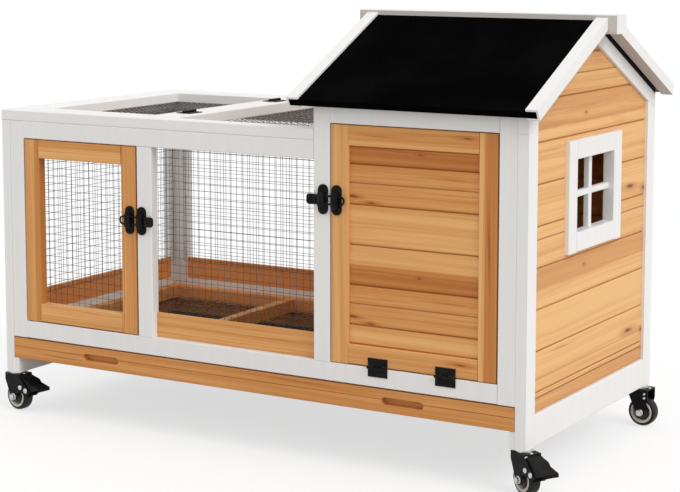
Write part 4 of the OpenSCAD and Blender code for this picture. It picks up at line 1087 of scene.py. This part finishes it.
class RUN_OT_stage(Operator):
    """Sets the floor, soft studio light and the camera"""

    bl_idname = "rabbit_run.stage"
    bl_label = "Stage"

    def execute(self, context):
        scene = context.scene
        lens = bpy.data.cameras.new("Camera")
        lens.lens = 97.308
        lens.sensor_width = 36.0
        lens.sensor_fit = "HORIZONTAL"
        lens.shift_x = -0.0176
        lens.shift_y = -0.1288
        lens.clip_end = 100.0
        scene.camera = linked("Camera", lens)
        scene.camera.location = (1.6367, -2.7051, 0.837)
        scene.camera.rotation_euler = Euler([math.radians(a) for a in (83.2045, -0.0526, 30.6249)])

        key = bpy.data.lights.new("Key", "SUN")
        key.energy = 1.26
        key.angle = math.radians(35)
        linked("Key", key).rotation_euler = Vector((1.0, -0.25, 0.9)).to_track_quat("Z", "Y").to_euler()

        scene.world = bpy.data.worlds.new("Soft studio")
        scene.world.use_nodes = True
        scene.world.node_tree.nodes.clear()
        t = Tree(scene.world.node_tree)
        strength = t.line(seen(t), 0.19, 0.81)
        sky = t.node("ShaderNodeBackground", {"Color": (1.0, 1.0, 1.0), "Strength": strength})
        t.node("ShaderNodeOutputWorld", {"Surface": sky.outputs[0]})

        s = np.linspace(-30.0, 30.0, 9)
        x, y = np.meshgrid(s, s, indexing="ij")
        verts, faces = grid(np.stack([x, y, 0 * x - 0.0002], -1))
        mesh = bpy.data.meshes.new("Floor")
        mesh.from_pydata(verts.tolist(), [], faces)
        material = bpy.data.materials.new("Pale floor")
        material.use_nodes = True
        material.node_tree.nodes.clear()
        f = Tree(material.node_tree)
        looked_at = seen(f)
        colour = f.mix(looked_at, (0.62, 0.6, 0.58), (0.33, 0.33, 0.33))
        matte = f.node("ShaderNodeBsdfDiffuse", {"Color": colour})
        white = f.node("ShaderNodeEmission", {"Color": (1.0, 1.0, 1.0), "Strength": f.times(looked_at, 0.66)})
        both = f.node("ShaderNodeAddShader", {0: matte.outputs[0], 1: white.outputs[0]})
        f.node("ShaderNodeOutputMaterial", {"Surface": both.outputs[0]})
        mesh.materials.append(material)
        linked("Floor", mesh)
        scene.view_settings.view_transform = "Standard"
        return {"FINISHED"}


# ---- Panel and add-on ----

STEPS = (RUN_OT_stage, RUN_OT_honey_timber, RUN_OT_white_paint, RUN_OT_roof_felt, RUN_OT_nets, RUN_OT_latches,
         RUN_OT_hinges, RUN_OT_casters)


class RUN_PT_panel(Panel):
    """Lists the sizes, colours and steps"""

    bl_idname = "RUN_PT_panel"
    bl_label = "Rabbit Run"
    bl_space_type = "VIEW_3D"
    bl_region_type = "UI"
    bl_category = "Rabbit Run"

    def draw(self, context):
        for name in RabbitRunLook.__annotations__:
            self.layout.prop(context.scene.rabbit_run, name)
        for step in STEPS:
            self.layout.operator(step.bl_idname)


CLASSES = (RabbitRunLook,) + STEPS + (RUN_PT_panel,)


def register():
    for cls in CLASSES:
        bpy.utils.register_class(cls)
    bpy.types.Scene.rabbit_run = PointerProperty(type=RabbitRunLook)


def unregister():
    del bpy.types.Scene.rabbit_run
    for cls in reversed(CLASSES):
        bpy.utils.unregister_class(cls)


def main():
    """Registers the add-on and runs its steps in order."""
    register()
    bpy.ops.rabbit_run.stage()
    bpy.ops.rabbit_run.honey_timber()
    bpy.ops.rabbit_run.white_paint()
    bpy.ops.rabbit_run.roof_felt()
    bpy.ops.rabbit_run.nets()
    bpy.ops.rabbit_run.latches()
    bpy.ops.rabbit_run.hinges()
    bpy.ops.rabbit_run.casters()


if __name__ == "__main__":
    main()
